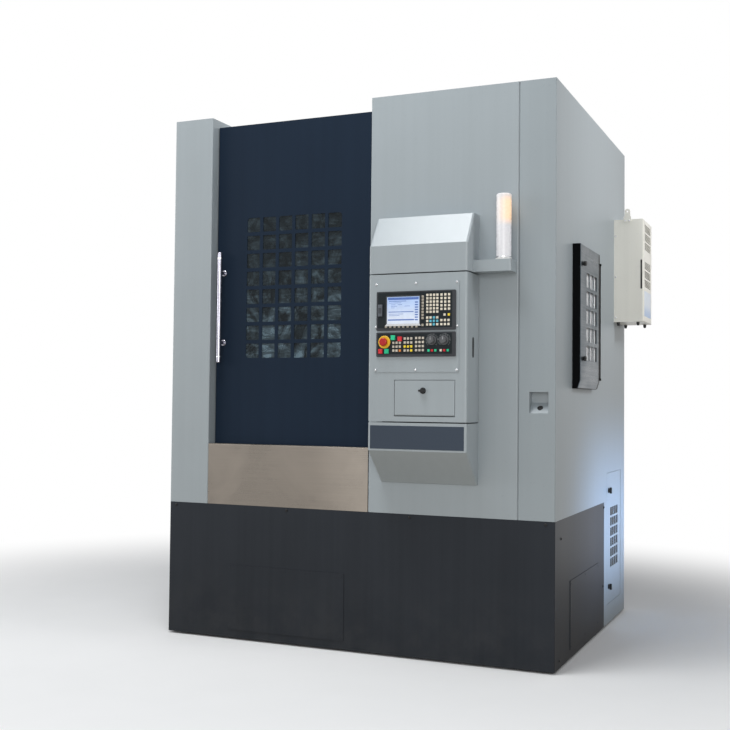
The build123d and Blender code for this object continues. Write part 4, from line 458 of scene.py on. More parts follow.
def make_cast_skin():
    """Painted sand casting: lumpy skin, fine grain, and oil darkening in patches."""
    graph, given = new_effect("cast_skin", Color=(0.5, 0.5, 0.5, 1), Oil=0.3, Gloss=0.5)
    where = graph.place()
    lumps = graph.noise(where, 38.0, 4.0, 0.6)
    oil = graph.ramp(graph.noise(where, 4.0, 4.0, 0.6, 0.6), 0.5, 0.75)
    oil = graph.times(oil, given["Oil"])
    enamel = graph.shade(given["Color"], graph.ramp(lumps, 0.2, 0.8, 0.9, 1.1))
    graph.feed(
        Color=graph.mix(oil, enamel, shown(62, 58, 50)),
        Roughness=graph.less(given["Gloss"], graph.times(oil, 0.5)),
        Height=graph.plus(lumps, graph.times(graph.noise(where, 260.0, 2.0), 0.35)),
    )


def make_moulded_grain():
    """Moulded plastic: fine pebble grain with a faint cloudy tone and rubbed shine."""
    graph, given = new_effect("moulded_grain", Color=(0.2, 0.2, 0.2, 1), Gloss=0.45)
    where = graph.place()
    clouds = graph.ramp(graph.noise(where, 24.0, 3.0), 0.3, 0.7, -1.0, 1.0)
    graph.feed(
        Color=graph.shade(given["Color"], graph.plus(graph.times(clouds, 0.07), 1.0)),
        Roughness=graph.plus(given["Gloss"], graph.times(clouds, 0.08), clamp=True),
        Height=graph.noise(where, 900.0, 2.0, 0.6),
    )


def blank(name):
    """Graph of a new material, in place of any that has its name, that ends in a Principled shader."""
    if name in bpy.data.materials:
        bpy.data.materials.remove(bpy.data.materials[name])
    material = bpy.data.materials.new(name)
    material.use_nodes = True
    return Graph(material.node_tree, material.node_tree.nodes["Principled BSDF"].inputs)


def dress(name, *nodes):
    """Give frame nodes a finish."""
    for node in nodes:
        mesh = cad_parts[node].data
        mesh.materials.clear()
        mesh.materials.append(bpy.data.materials[name])


def finish(graph, surface, strength, distance, **more):
    """Feed an effect's outputs to a shader, its height as bump, and set more of the shader's inputs."""
    normal = graph.bump(surface["Height"], strength, distance)
    graph.feed(Base_Color=surface["Color"], Roughness=surface["Roughness"], Normal=normal, **more)


def painted(name, colour, mottle, streaks, dust, gloss, specular, *nodes):
    """Sprayed sheet metal on frame nodes; gives its graph and surface for what is added to it."""
    graph = blank(name)
    surface = graph.effect(
        "paint_film", Color=solid(colour), Mottle=mottle, Streaks=streaks, Dust=dust, Gloss=gloss
    )
    finish(graph, surface, 0.10, 0.0006, Specular_IOR_Level=specular)
    dress(name, *nodes)
    return graph, surface


def grain(graph, vector, colour, contrast, clouds, gloss):
    """Outputs of the brushed effect, its lines drawn by the vector."""
    return graph.effect(
        "brushed_grain", Vector=vector, Color=colour, Contrast=contrast, Clouds=clouds, Gloss=gloss
    )


def brushed(name, colour, scale, contrast, clouds, gloss, *nodes):
    """Brushed bare metal; the scale draws the grain out along its smallest part."""
    graph = blank(name)
    surface = grain(graph, graph.stretch(graph.place(), scale), solid(colour), contrast, clouds, gloss)
    finish(graph, surface, 0.10, 0.0003, Metallic=1.0)
    dress(name, *nodes)


def cast(name, colour, oil, gloss, *nodes):
    """Enamelled casting."""
    graph = blank(name)
    surface = graph.effect("cast_skin", Color=solid(colour), Oil=oil, Gloss=gloss)
    finish(graph, surface, 0.35, 0.0012, Specular_IOR_Level=0.35)
    dress(name, *nodes)


def moulded(name, colour, gloss, *nodes, coat=0.0, specular=0.4, relief=(0.12, 0.0002)):
    """Moulded plastic; the relief is the strength and the depth of its grain."""
    graph = blank(name)
    surface = graph.effect("moulded_grain", Color=solid(colour), Gloss=gloss)
    finish(graph, surface, *relief, Coat_Weight=coat, Coat_Roughness=0.08, Specular_IOR_Level=specular)
    dress(name, *nodes)


def turned(name, colour, hub, axis, grooves, *nodes):
    """Turned steel: fine rings and a few deep grooves by the distance from an axis through the hub."""
    graph = blank(name)
    keep = [0.0 if label == axis else 1.0 for label in "XYZ"]
    offset = [-part * kept for part, kept in zip(corners(hub).mean(axis=0), keep)]
    radius = graph.length(graph.stretch(graph.place(), keep, offset))
    rings = graph.add("ShaderNodeCombineXYZ", {"X": graph.times(radius, 900.0)})[0]
    surface = grain(graph, rings, solid(colour), 0.12, 0.10, 0.27)
    finish(graph, surface, 0.3, 0.0006, Metallic=1.0)
    sunk = graph.ramp(graph.wave(radius, grooves), 0.93, 0.99, 1.0, 0.0)
    height = graph.plus(graph.times(surface["Height"], 0.1), sunk)
    graph.feed(Normal=graph.bump(height, 0.5, 0.002))
    dress(name, *nodes)


def threaded(name, colour, axis, pitch, *nodes):
    """Ball screw: a round groove repeated along the screw's axis, its troughs darkened as painted shade."""
    graph = blank(name)
    where = graph.place()
    surface = grain(graph, graph.stretch(where, (300, 300, 300)), solid(colour), 0.1, 0.08, 0.22)
    finish(graph, surface, 0.1, 0.0003, Metallic=1.0)
    turn = graph.wave(graph.parts(where)[axis], pitch)
    groove_painted_shade = graph.shade(surface["Color"], graph.ramp(turn, -1.0, 0.6, 0.45, 1.0))
    graph.feed(Normal=graph.bump(turn, 0.8, 0.004), Base_Color=groove_painted_shade)
    dress(name, *nodes)


# Operators

class LATHE_OT_shell_finishes(bpy.types.Operator):
    """Paint the enclosure, the skirts, the door, the console shell and the cooling unit"""

    bl_idname = "lathe.shell_finishes"
    bl_label = "Shell finishes"

    def execute(self, context):
        paints = context.scene.lathe_paints
        for make in (make_paint_film, make_brushed_grain, make_cast_skin, make_moulded_grain):
            make()
        painted("cabinet_paint", paints.cabinet, 0.025, 0.015, 0.02, 0.30, 0.5,
                "left_pillar", "left_wall", "rear_wall", "roof_panel", "cabinet_front", "holder_cup", "hood",
                "chin", "console_box", "console_plate", "flap_door", "lamp_bracket")
        painted("side_paint", paints.cabinet, 0.025, 0.010, 0.02, 0.36, 0.12,
                "cabinet_side", "service_frame", "service_door")
        painted("skirt_paint", paints.skirt, 0.08, 0.05, 0.03, 0.42, 0.14,
                "front_skirt", "left_skirt", "right_skirt", "skirt_covers")
        painted("door_paint", paints.door, 0.05, 0.03, 0.0, 0.48, 0.08, "door_panel")
        painted("strip_paint", paints.strip, 0.05, 0.0, 0.0, 0.32, 0.35)
        painted("cooler_paint", paints.cooler, 0.03, 0.02, 0.0, 0.38, 0.35, "cooler_case")
        graph, surface = painted(
            "cooler_front_paint", paints.cooler, 0.03, 0.02, 0.0, 0.4, 0.35, "cooler_grille"
        )
        # Painted shade: the grille's face sunk 1.5 mm to 9 mm behind its front, 20 mm inside its edges,
        # darkens to 0.28 of its colour.
        low, high = corners("cooler_grille")
        rim, deep, shallow = 0.02, 0.009, 0.0015
        spot = graph.parts(graph.place())
        sunk = graph.ramp(spot["X"], high[0] - deep, high[0] - shallow, 1.0, 0.0)
        for index, axis in ((1, "Y"), (2, "Z")):
            sunk = graph.times(sunk, graph.between(spot[axis], low[index] + rim, high[index] - rim))
        graph.feed(Base_Color=graph.shade(surface["Color"], graph.ramp(sunk, 0.0, 1.0, 1.0, 0.28)))
        return {"FINISHED"}


def apron_finish(paints):
    """Cloudy brushed sheet, lighter towards its right end as a painted reflection."""
    right = corners("apron")[1, 0]
    far, near, reflection_peak = 0.34, 0.03, 1.42
    graph = blank("apron_steel")
    where = graph.place()
    # Painted reflection: the colour rises to 1.42 times over the right end's last 0.34 m.
    wear_and_painted_reflection = graph.ramp(graph.parts(where)["X"], right - far, right - near, 1.0, reflection_peak)
    sheet = graph.shade(solid(paints.apron), wear_and_painted_reflection)
    surface = grain(graph, graph.stretch(where, (2.2, 260, 190)), sheet, 0.04, 0.06, 0.34)
    finish(graph, surface, 0.10, 0.0003, Metallic=1.0)
    dress("apron_steel", "apron")


def filter_cover_finish():
    """Brushed sheet with a blackened edge and hinge, by the distance from its rear end."""
    rear = corners("filter_cover")[1, 1]
    outer, inner = 0.047, 0.046
    graph = blank("filter_steel")
    where = graph.place()
    surface = grain(graph, graph.stretch(where, (260, 2.5, 220)), shown(74, 83, 90), 0.05, 0.03, 0.36)
    finish(graph, surface, 0.10, 0.0003, Specular_IOR_Level=0.04)
    hinge = graph.ramp(graph.parts(where)["Y"], rear - outer, rear - inner)
    blackened = graph.mix(hinge, surface["Color"], shown(20, 20, 22))
    graph.feed(Base_Color=blackened, Metallic=graph.less(1.0, hinge))
    dress("filter_steel", "filter_cover")


class LATHE_OT_metal_finishes(bpy.types.Operator):
    """Finish the bare sheet metal, the castings, the spindle, the slides and the drive"""

    bl_idname = "lathe.metal_finishes"
    bl_label = "Metal finishes"

    def execute(self, context):
        paints = context.scene.lathe_paints
        steel = paints.steel
        apron_finish(paints)
        filter_cover_finish()
        brushed("liner_steel", display(150, 152, 152), (160, 160, 3), 0.06, 0.12, 0.36,
                "chip_tray", "chamber_wall")
        brushed("handle_steel", display(166, 165, 176), (320, 320, 6), 0.05, 0.05, 0.22, "door_handle")
        brushed("ground_steel", steel, (3, 240, 240), 0.08, 0.06, 0.26,
                "door_rails", "door_hangers", "motor_pulley")
        brushed("tool_steel", display(92, 94, 99), (120, 120, 120), 0.10, 0.10, 0.36, "tool_set")
        brushed("screw_steel", display(205, 206, 208), (500, 500, 500), 0.06, 0.05, 0.24)
        turned("turned_steel", steel, "chuck_body", "Z", 0.045,
               "spindle_shaft", "chuck_body", "jaw_1", "jaw_2", "jaw_3")
        turned("turret_steel", display(150, 153, 158), "turret_disc", "Y", 0.06, "turret_disc")
        threaded("x_thread", steel, "X", 0.02, "x_screw")
        threaded("z_thread", steel, "Z", 0.02, "z_screw")
        cast("column_enamel", paints.casting, 0.25, 0.5, "column_casting", "saddle", "ram")
        cast("bed_enamel", display(108, 116, 118), 0.45, 0.55, "bed_casting", "levelling_pads")
        cast("motor_enamel", paints.motors, 0.1, 0.45, "spindle_motor", "x_servo_motor", "z_servo_motor")
        moulded("belt_rubber", display(24, 24, 25), 0.7, "drive_belt", specular=0.2, relief=(0.3, 0.0006))
        return {"FINISHED"}


def panel_finish(name, node, tones):
    """Moulded panel: a charcoal bezel round a near-black field, by the distance from the node's edges."""
    low, high = corners(node)
    left, right, foot, head = 0.007, 0.017, 0.012, 0.006
    graph = blank(name)
    spot = graph.parts(graph.place())
    across = graph.between(spot["X"], low[0] + left, high[0] - right)
    along = graph.between(spot["Z"], low[2] + foot, high[2] - head)
    colour = graph.mix(graph.times(across, along), solid(tones.panel), solid(tones.field))
    surface = graph.effect("moulded_grain", Color=colour, Gloss=0.42)
    finish(graph, surface, 0.12, 0.0002, Specular_IOR_Level=0.2)
    dress(name, node)


def window_finish():
    """Safety glass: dark blue-green with wiped milky smears."""
    low, high = corners("door_window")
    graph = blank("window_glass")
    where = graph.place()
    down = graph.ramp(graph.parts(where)["Z"], low[2] + 0.05, high[2] - 0.1, 1.0, 0.3)
    smear = graph.ramp(graph.noise(graph.stretch(where, (1.5, 1, 1.1)), 5.0, 7.0, 0.68, 1.4), 0.36, 0.70)
    swept = graph.stretch(where, (9, 1, 36), rotation=(0, 0.7, 0))
    wipe = graph.ramp(graph.noise(swept, 1.0, 5.0, 0.6, 0.8), 0.38, 0.70)
    milky = graph.times(graph.times(smear, graph.ramp(wipe, 0.0, 1.0, 0.35, 1.0)), down)
    graph.feed(
        Base_Color=graph.mix(milky, shown(16, 26, 31), shown(118, 142, 156)),
        Roughness=graph.ramp(milky, 0.0, 1.0, 0.06, 0.42),
        Transmission_Weight=0.25, IOR=1.45, Specular_IOR_Level=0.12,
    )
    dress("window_glass", "door_window")


def lamp_finish(tones):
    """Frosted tube: white below and lit warm above, by height and towards its right side."""
    low, high = corners("lamp_tube")
    wide, tall = (high - low)[[0, 2]]
    graph = blank("lamp_plastic")
    where = graph.place()
    spot = graph.parts(where)
    warm = graph.times(
        graph.ramp(spot["Z"], low[2] + 0.48 * tall, low[2] + 0.64 * tall),
        graph.ramp(spot["Z"], low[2] + 0.86 * tall, high[2], 1.0, 0.15),
    )
    warm = graph.times(warm, graph.ramp(spot["X"], low[0] + 0.15 * wide, high[0], 0.12, 1.0))
    frost = graph.ramp(graph.noise(where, 60.0, 3.0), 0.3, 0.7, 0.97, 1.0)
    body = graph.mix(warm, shown(220, 220, 223), shown(240, 216, 188))
    graph.feed(
        Base_Color=graph.shade(body, frost),
        Emission_Color=graph.mix(warm, shown(120, 120, 126), solid(tones.glow)),
        Emission_Strength=0.38,
        Roughness=graph.ramp(frost, 0.97, 1.0, 0.32, 0.24),
    )
    dress("lamp_plastic", "lamp_tube")


def filter_finish():
    """Filter: black frame, and inside its border a pale mat with a woven mesh."""
    low, high = corners("filter_frame")
    border, foot, width, pitch = 0.0175, 0.0625, 0.482, 0.004
    graph = blank("filter_mat")
    where = graph.place()
    spot = graph.parts(where)
    across = graph.between(spot["Y"], low[1] + border, low[1] + width - border)
    mat = graph.times(across, graph.between(spot["Z"], low[2] + foot, high[2] - border))
    weave = graph.times(graph.wave(spot["Y"], pitch), graph.wave(spot["Z"], pitch))
    fluff = graph.noise(where, 220.0, 4.0, 0.6)
    pale = graph.shade(shown(244, 247, 250), graph.ramp(fluff, 0.25, 0.75, 0.86, 1.0))
    graph.feed(
        Base_Color=graph.mix(mat, shown(9, 10, 12), pale),
        Roughness=graph.ramp(mat, 0.0, 1.0, 0.42, 0.9),
        Specular_IOR_Level=0.03,
        Normal=graph.bump(graph.times(graph.plus(weave, fluff), mat), 0.5, 0.001),
    )
    dress("filter_mat", "filter_frame")


class LATHE_OT_plastic_finishes(bpy.types.Operator):
    """Finish the panels, knobs, window, lamp and filter"""

    bl_idname = "lathe.plastic_finishes"
    bl_label = "Plastic and glass finishes"

    def execute(self, context):
        tones = context.scene.lathe_panel_tones
        moulded("panel_plastic", tones.panel, 0.42, specular=0.25)
        moulded("knob_plastic", tones.knob, 0.40, "feed_knob", "speed_knob")
        panel_finish("display_plastic", "display_unit", tones)
        panel_finish("machine_plastic", "machine_panel", tones)
        moulded("lid_plastic", display(84, 89, 96), 0.42, specular=0.35)
        moulded("black_plastic", tones.black, 0.38, "flap_latch", "upper_lock", "lower_lock")
        moulded("red_plastic", tones.mushroom, 0.30, "stop_button", coat=0.15)
        moulded("yellow_plastic", tones.collar, 0.36)
        for label in KEY_FINISHES.values():
            moulded(label + "_keys", getattr(tones, label), 0.40)
        moulded("white_print", display(190, 193, 196), 0.5)
        moulded("lamp_base_plastic", display(214, 214, 212), 0.4, "lamp_base")
        window_finish()
        lamp_finish(tones)
        filter_finish()
        return {"FINISHED"}


def access_screws(flush):
    """Flush heads along the borders of the access panels on the left and rear walls."""
    edge, border, sill, rows = 0.018, 0.09, 0.82, 5
    inset, foot = border + edge, sill + edge
    low, high = corners("left_wall")
    span, tall = grid([low[1] + inset, high[1] - inset], np.linspace(foot, high[2] - inset, rows))
    piece("left_access_screws", flush, "left", (low[0], span, tall), *STEEL_ON_FRAME)
    low, high = corners("rear_wall")
    seam = corners("cabinet_front")[0, 0]
    left_drop, right_drop = 0.18, 0.62
    panels = []
    for start, stop, drop in ((low[0], seam, left_drop), (seam, high[0], right_drop)):
        span, tall = grid([start + inset, stop - inset], np.linspace(foot, high[2] - drop - edge, rows))
        panels.append(spots(span, high[1], tall))
    piece("rear_access_screws", flush, "back", np.concatenate(panels).T, *STEEL_ON_FRAME)


class LATHE_OT_sheet_screws(bpy.types.Operator):
    """Screw heads on the base, the inspection covers, the access panels and the console plate"""

    bl_idname = "lathe.sheet_screws"
    bl_label = "Sheet-metal screws"

    def execute(self, context):
        sizes = context.scene.lathe_fitting_sizes
        head_rise, flush_rise = 0.0042, 0.0008
        head = socket_screw(sizes.screw, head_rise)
        flush = socket_screw(0.9 * sizes.screw, flush_rise)
        low, high = corners("front_skirt")
        shares, below_top = np.array([0.019, 0.336, 0.658, 0.979]), 0.015
        places = (low[0] + (high[0] - low[0]) * shares, low[1], high[2] - below_top)
        piece("base_screws", head, "front", places, *BLACK_ON_FRAME)
        depths, heights = [-0.776, -0.808, 0.254, 0.272], [0.639, 0.050, 0.252, 0.704]
        places = (corners("right_skirt")[1, 0], depths, heights)
        piece("side_screws", head, "right", places, *BLACK_ON_FRAME)
        charcoal = ("skirt_paint", "frame", "charcoal_paint")
        low, high = corners("skirt_covers")
        inset, cover_left, cover_right, cover_depth = 0.016, -0.348, 0.352, 0.7
        heights = np.repeat([low[2] + inset, high[2] - inset], 3)
        ends = np.tile(np.linspace(cover_left + inset, cover_right - inset, 3), 2)
        piece("front_cover_screws", flush, "front", (ends, low[1], heights), *charcoal)
        ends = np.tile(np.linspace(high[1] - cover_depth + inset, high[1] - inset, 3), 2)
        piece("side_cover_screws", flush, "right", (high[0], ends, heights), *charcoal)
        low, high = corners("console_plate")
        inset = 0.0105
        columns, rows = (
            np.array([low[axis] + inset, (low[axis] + high[axis]) / 2, high[axis] - inset]) for axis in (0, 2)
        )
        around = np.delete(spots(np.tile(columns, 3), low[1], np.repeat(rows, 3)), 4, axis=0)
        plate_head = socket_screw(sizes.plate_screw, head_rise)
        piece("plate_screws", plate_head, "front", around.T, "screw_steel", "console", "machined_steel")
        access_screws(flush)
        return {"FINISHED"}


# Shares of the panel's width and height at a block's first and last key, and its rows of colour letters
DISPLAY_KEYS = (
    (0.592, 0.304, 0.592, 0.848, ("g",) * 8),
    (0.592, 0.130, 0.592, 0.130, ("g",)),
    (0.125, 0.100, 0.515, 0.100, ("gggggggg",)),
    (0.650, 0.457, 0.775, 0.883, ("iiii",) * 6),
    (0.826, 0.522, 0.920, 0.883, ("iii",) * 5),
    (0.866, 0.378, 0.918, 0.378, ("iy",)),
    (0.650, 0.139, 0.775, 0.313, ("iibi", "ibbb", "iibi")),
    (0.826, 0.139, 0.915, 0.240, ("iii", "iii")),
)
MACHINE_KEYS = (
    (0.223, 0.252, 0.306, 0.571, ("sss", "sss", "sso")),
    (0.368, 0.252, 0.451, 0.741, ("sss", "sss", "yyy", "ssy")),
    (0.513, 0.258, 0.598, 0.755, ("sss",) * 4),
    (0.670, 0.245, 0.754, 0.245, ("nrn",)),
    (0.821, 0.245, 0.908, 0.245, ("irn",)),
)
PUSH_KEYS = ((0.216, 0.782, "n"), (0.304, 0.728, "r"), (0.056, 0.225, "r"), (0.134, 0.225, "n"))
KEY_FINISHES = {
    "g": "soft", "i": "ivory", "s": "stone", "y": "yellow", "b": "blue", "n": "green", "r": "red",
    "o": "orange",
}


def panel_face():
    """Depth of both panels' front faces: the console plate's front less the bezel."""
    bezel = 0.008
    return corners("console_plate")[0, 1] - bezel


def key_spots(blocks, node):
    """Centres and colour letters of the keys: each block's first and last shares spread over its pattern."""
    low, high = corners(node)
    centres, letters = [], []
    for first_x, first_z, last_x, last_z, rows in blocks:
        across = np.linspace(first_x, last_x, len(rows[0]))
        up = np.linspace(last_z, first_z, len(rows))
        span, tall = grid(low[0] + (high[0] - low[0]) * across, low[2] + (high[2] - low[2]) * up)
        centres.append(spots(span, panel_face(), tall))
        letters += list("".join(rows))
    return np.concatenate(centres), np.array(letters)


def key_pieces(ending, shape, centres, letters):
    """One piece for each colour, with a cap at every centre of its letter."""
    for letter in sorted(set(letters.tolist())):
        label = KEY_FINISHES[letter]
        columns = centres[letters == letter].T
        piece(label + ending, shape, "front", columns, label + "_keys", "console", "panel_plastic")


class LATHE_OT_key_caps(bpy.types.Operator):
    """Dished caps over the keys of both panels, and the square push keys"""

    bl_idname = "lathe.key_caps"
    bl_label = "Key caps"

    def execute(self, context):
        sizes = context.scene.lathe_fitting_sizes
        foot, tall, corner, inner = sizes.key, sizes.key_rise, 0.0012, 0.0014
        cap = squares(
            (foot, corner, 0), (foot, corner, 0.6 * tall), (0.90 * foot, inner, tall),
            (0.72 * foot, inner, tall), (0.50 * foot, inner, 0.86 * tall),
        )
        both = (key_spots(DISPLAY_KEYS, "display_unit"), key_spots(MACHINE_KEYS, "machine_panel"))
        key_pieces("_key_caps", cap, *(np.concatenate(part) for part in zip(*both)))
        foot, tall, corner = sizes.big_key, sizes.big_key_rise, 0.002
        flange, step = foot + 0.003, 0.0016
        push = squares(
            (flange, corner, 0), (flange, corner, step), (foot, corner, step),
            (foot, corner, tall - 0.001), (foot - 0.002, corner, tall), (foot - 0.005, corner, tall),
            (foot - 0.007, corner, tall - 0.0008),
        )
        single = [(across, up, across, up, (letter,)) for across, up, letter in PUSH_KEYS]
        key_pieces("_push_keys", push, *key_spots(single, "machine_panel"))
        return {"FINISHED"}


# Shares of the display unit's width and height at the edges of the screen
SCREEN_SIDES = (0.134, 0.551)
SCREEN_ENDS = (0.165, 0.864)
# Shares of the drawn area at the left, foot, right and top of each bar
SCREEN_BARS = (
    (0.00, 0.905, 1.00, 1.00), (0.03, 0.845, 0.60, 0.870), (0.03, 0.785, 0.44, 0.800),
    (0.10, 0.715, 0.24, 0.730), (0.32, 0.715, 0.46, 0.730), (0.10, 0.655, 0.30, 0.670),
    (0.54, 0.655, 0.72, 0.670), (0.10, 0.595, 0.22, 0.610), (0.02, 0.425, 0.84, 0.455),
    (0.03, 0.350, 0.50, 0.365), (0.03, 0.290, 0.38, 0.305), (0.00, 0.105, 0.86, 0.155),
)
SCREEN_SOFT_BARS = tuple((0.88, 0.10 + 0.097 * row, 0.98, 0.15 + 0.097 * row) for row in range(8))


def screen_finishes(tones, foot, head):
    """Lit pane that fades towards its foot, and the ink of the bars."""
    graph = blank("screen_pane")
    where = graph.place()
    fade = graph.ramp(graph.parts(where)["Z"], foot, head)
    cloud = graph.noise(where, 30.0, 2.0)
    lit = graph.mix(fade, shown(226, 235, 250), solid(tones.pane))
    lit = graph.shade(lit, graph.ramp(cloud, 0.3, 0.7, 0.95, 1.03))
    graph.feed(
        Base_Color=graph.shade(lit, 0.3), Emission_Color=lit, Emission_Strength=0.66,
        Roughness=graph.ramp(cloud, 0.3, 0.7, 0.16, 0.24),
    )
    graph = blank("screen_ink")
    cloud = graph.noise(graph.place(), 400.0, 2.0)
    drawn = graph.shade(solid(tones.ink), graph.ramp(cloud, 0.3, 0.7, 0.8, 1.2))
    graph.feed(Base_Color=drawn, Emission_Color=drawn, Emission_Strength=0.55)


def screen_lip(left, right, foot):
    """Slanted silver lip: a wedge section carried across, drawn in towards its upper edge."""
    section = np.array([
        [0.0, -0.0100], [0.0, 0.0006], [-0.0016, 0.0006], [-0.0046, -0.0092], [-0.0046, -0.0100],
    ])
    splay = np.array([0.0085, 0.0, 0.0, 0.0085, 0.0085])
    ends = [spots(section[:, 0], section[:, 1], out) for out in (-splay, right - left + splay)]
    rings = np.stack(ends)[:, ::-1]
    place = (left, panel_face(), foot)
    piece("screen_lip", rings, "right", place, "screw_steel", "console", "machined_steel")


def drive_lid(low, wide, tall):
    """Lid on the drive cover with finger ridges: a bevelled plate and rounded bars across it."""
    cover, gap, thickness, lowest, pitch = 0.005, 0.003, 0.0016, 0.012, 0.0055
    across, face, up = low[0] + wide * 0.0505, panel_face() - cover, low[2] + tall * 0.52
    lid = plate(wide * 0.065 - gap, tall * 0.32 - gap, thickness, 0.002, 0.0006)
    piece("drive_lid", lid, "front", (across, face, up), "lid_plastic", "console", "panel_plastic")
    ridge = plate(wide * 0.040, 0.0022, 0.0012, 0.0009, 0.0004)
    places = (across, face - thickness, up - lowest + pitch * np.arange(5))
    piece("drive_lid_ridges", ridge, "front", places, "black_plastic", "console", "panel_plastic")


class LATHE_OT_screen(bpy.types.Operator):
    """Lit pane, drawn bars, silver lower lip and the dark frame round the screen"""

    bl_idname = "lathe.screen"
    bl_label = "Screen"

    def execute(self, context):
        low, high = corners("display_unit")
        wide, tall = high[0] - low[0], high[2] - low[2]
        left, right = (low[0] + wide * share for share in SCREEN_SIDES)
        foot, head = (low[2] + tall * share for share in SCREEN_ENDS)
        recess, gap, ink_rise, drawn_share = 0.002, 0.0004, 0.0011, 0.94
        back = panel_face() + recess
        screen_finishes(context.scene.lathe_panel_tones, foot, head)
        on_panel = ("console", "panel_plastic")
        middle, centre = (left + right) / 2, (foot + head) / 2
        pane = plate(right - left - gap, head - foot - gap, 0.0012, 0.0008, 0.0003)
        piece("screen_pane", pane, "front", (middle, back, centre), "screen_pane", *on_panel)
        share = np.array(SCREEN_BARS + SCREEN_SOFT_BARS)
        drawn = drawn_share * np.array([right - left, head - foot])
        span, rows = (drawn * (share[:, 2:] - share[:, :2])).T
        across, up = (drawn * ((share[:, :2] + share[:, 2:]) / 2 - 0.5)).T
        unit = plate(1.0, 1.0, 0.00025, 0.02, 0.00005)
        bars = unit[None] * spots(span, rows, 1.0)[:, None, None, :]
        places = (middle + across, back - ink_rise, centre + up)
        piece("screen_bars", bars, "front", places, "screen_ink", *on_panel)
        rim = rise(*(
            (rounded(right - left + 2 * grow, head - foot + 2 * grow, 0.001 + max(grow, 0)), height)
            for grow, height in (
                (0.0045, 0.0), (0.0045, 0.0016), (0.0028, 0.0024), (-0.0008, 0.0006), (-0.0008, 0.0)
            )
        ))
        round_pane = (middle, panel_face(), centre)
        piece("screen_rim", rim, "front", round_pane, "panel_plastic", *on_panel, closed=True)
        screen_lip(left, right, foot)
        drive_lid(low, wide, tall)
        return {"FINISHED"}


def lock_collars():
    """Bevelled rings that seat the flap latch and the service locks on their doors."""
    ring = band(0.0130, 0.0158, 0.0030, 0.0008)
    across, up = corners("flap_latch").mean(axis=0)[[0, 2]]
    seat = (across, corners("flap_door")[0, 1], up)
    piece("latch_collar", ring, "front", seat, "black_plastic", "flap", "black_plastic", closed=True)
    middles = np.array([corners(lock).mean(axis=0) for lock in ("upper_lock", "lower_lock")])
    seats = (corners("service_door")[1, 0], middles[:, 1], middles[:, 2])
    piece("lock_collars", ring, "right", seats, "black_plastic", "service_door", "black_plastic", closed=True)


class LATHE_OT_switchgear(bpy.types.Operator):
    """Yellow stop collar, marks round the rotary switches, their pointers and the latch collars"""

    bl_idname = "lathe.switchgear"
    bl_label = "Switchgear"

    def execute(self, context):
        sizes = context.scene.lathe_fitting_sizes
        face = panel_face()
        stop = corners("stop_button").mean(axis=0)
        collar = discs(
            64, (sizes.collar, 0), (sizes.collar, 0.0036), (sizes.collar - 0.0016, 0.0052), (0.0225, 0.0052),
            (0.0210, 0.0046), (0.0125, 0.0046), (0.0125, 0),
        )
        seat = (stop[0], face, stop[2])
        piece("stop_collar", collar, "front", seat, "yellow_plastic", "console", "red_plastic", closed=True)
        count, sweep, major, minor, offset = 23, 135, 0.0056, 0.0032, 0.0088
        angle = np.radians(90 + np.linspace(sweep, -sweep, count))
        long = np.where(np.arange(count) % 2 == 0, major, minor)
        bar = plate(1.0, 0.0010, 0.00035, 0.00025, 0.0001)
        local = bar[None] * spots(long, 1.0, 1.0)[:, None, None, :]
        local[..., 0] += (sizes.dial - long / 2)[:, None, None]
        marks = spin(local, angle)
        pointer = plate(0.0024, 0.0150, 0.0006, 0.0008, 0.0002)
        crown = discs(
            48, (0.0132, 0), (0.0132, 0.0004), (0.0126, 0.0009), (0.0112, 0.0009), (0.0106, 0.0004),
            (0.0106, 0),
        )
        for knob in ("feed_knob", "speed_knob"):
            low, high = corners(knob)
            across, up = ((low + high) / 2)[[0, 2]]
            top = low[1]
            for part, shape, place, look, closed in (
                ("dial_marks", marks, (face, up), ("white_print", "console", "panel_plastic"), False),
                ("pointer", pointer, (top, up + offset), ("white_print", knob, "panel_plastic"), False),
                ("crown", crown, (top, up), ("knob_plastic", knob, "black_plastic"), True),
            ):
                piece(knob.replace("knob", part), shape, "front", (across, *place), *look, closed=closed)
        lock_collars()
        return {"FINISHED"}


def vent_mesh_finish():
    """Woven wire darkened almost to black as painted shade behind the vents: the larger of two sine waves
    across each other.
    """
    graph = blank("vent_mesh")
    where = graph.parts(graph.place())
    pitch = 0.006
    wire = graph.ramp(graph.most(graph.wave(where["Y"], pitch), graph.wave(where["Z"], pitch)), 0.5, 0.9)
    graph.feed(
        Base_Color=graph.mix(wire, shown(8, 8, 9), shown(34, 35, 37)),
        Roughness=graph.ramp(wire, 0.0, 1.0, 0.9, 0.5), Normal=graph.bump(wire, 0.6, 0.001),
    )


def cup_grommet():
    """Turned plug, tilted with the cup's slanted floor."""
    cup = corners("holder_cup")
    run, climb = 0.048, 0.052
    slope = math.hypot(run, climb)
    tilted = ((1, 0, 0), (0, run / slope, climb / slope), (0, -climb / slope, run / slope))
    across, depth = cup.mean(axis=0)[:2]
    sheet = 0.002
    middle = (across, depth, cup[0, 2] + sheet + climb / 2)
    plug = discs(
        40, (0.0145, -0.001), (0.0145, 0.0010), (0.0136, 0.0018), (0.0112, 0.0018), (0.0102, 0.0008),
        (0.0102, -0.006),
    )
    piece("cup_grommet", plug, tilted, middle, *BLACK_ON_FRAME)


def seam_bead():
    """Sealing bead: a narrow plate along the upright seam between the cabinet's two front sheets."""
    left, right = corners("cabinet_front"), corners("cabinet_side")
    wide, tall = right[0, 0] - left[1, 0], left[1, 2] - left[0, 2]
    play, short, sunk = 0.0002, 0.004, 0.0024
    bead = plate(wide - play, tall - short, 0.0012, 0.0004, 0.0002)
    centre = ((left[1, 0] + right[0, 0]) / 2, left[0, 1] + sunk, (left[0, 2] + left[1, 2]) / 2)
    piece("seam_bead", bead, "front", centre, "cabinet_paint", "frame", "grey_paint")


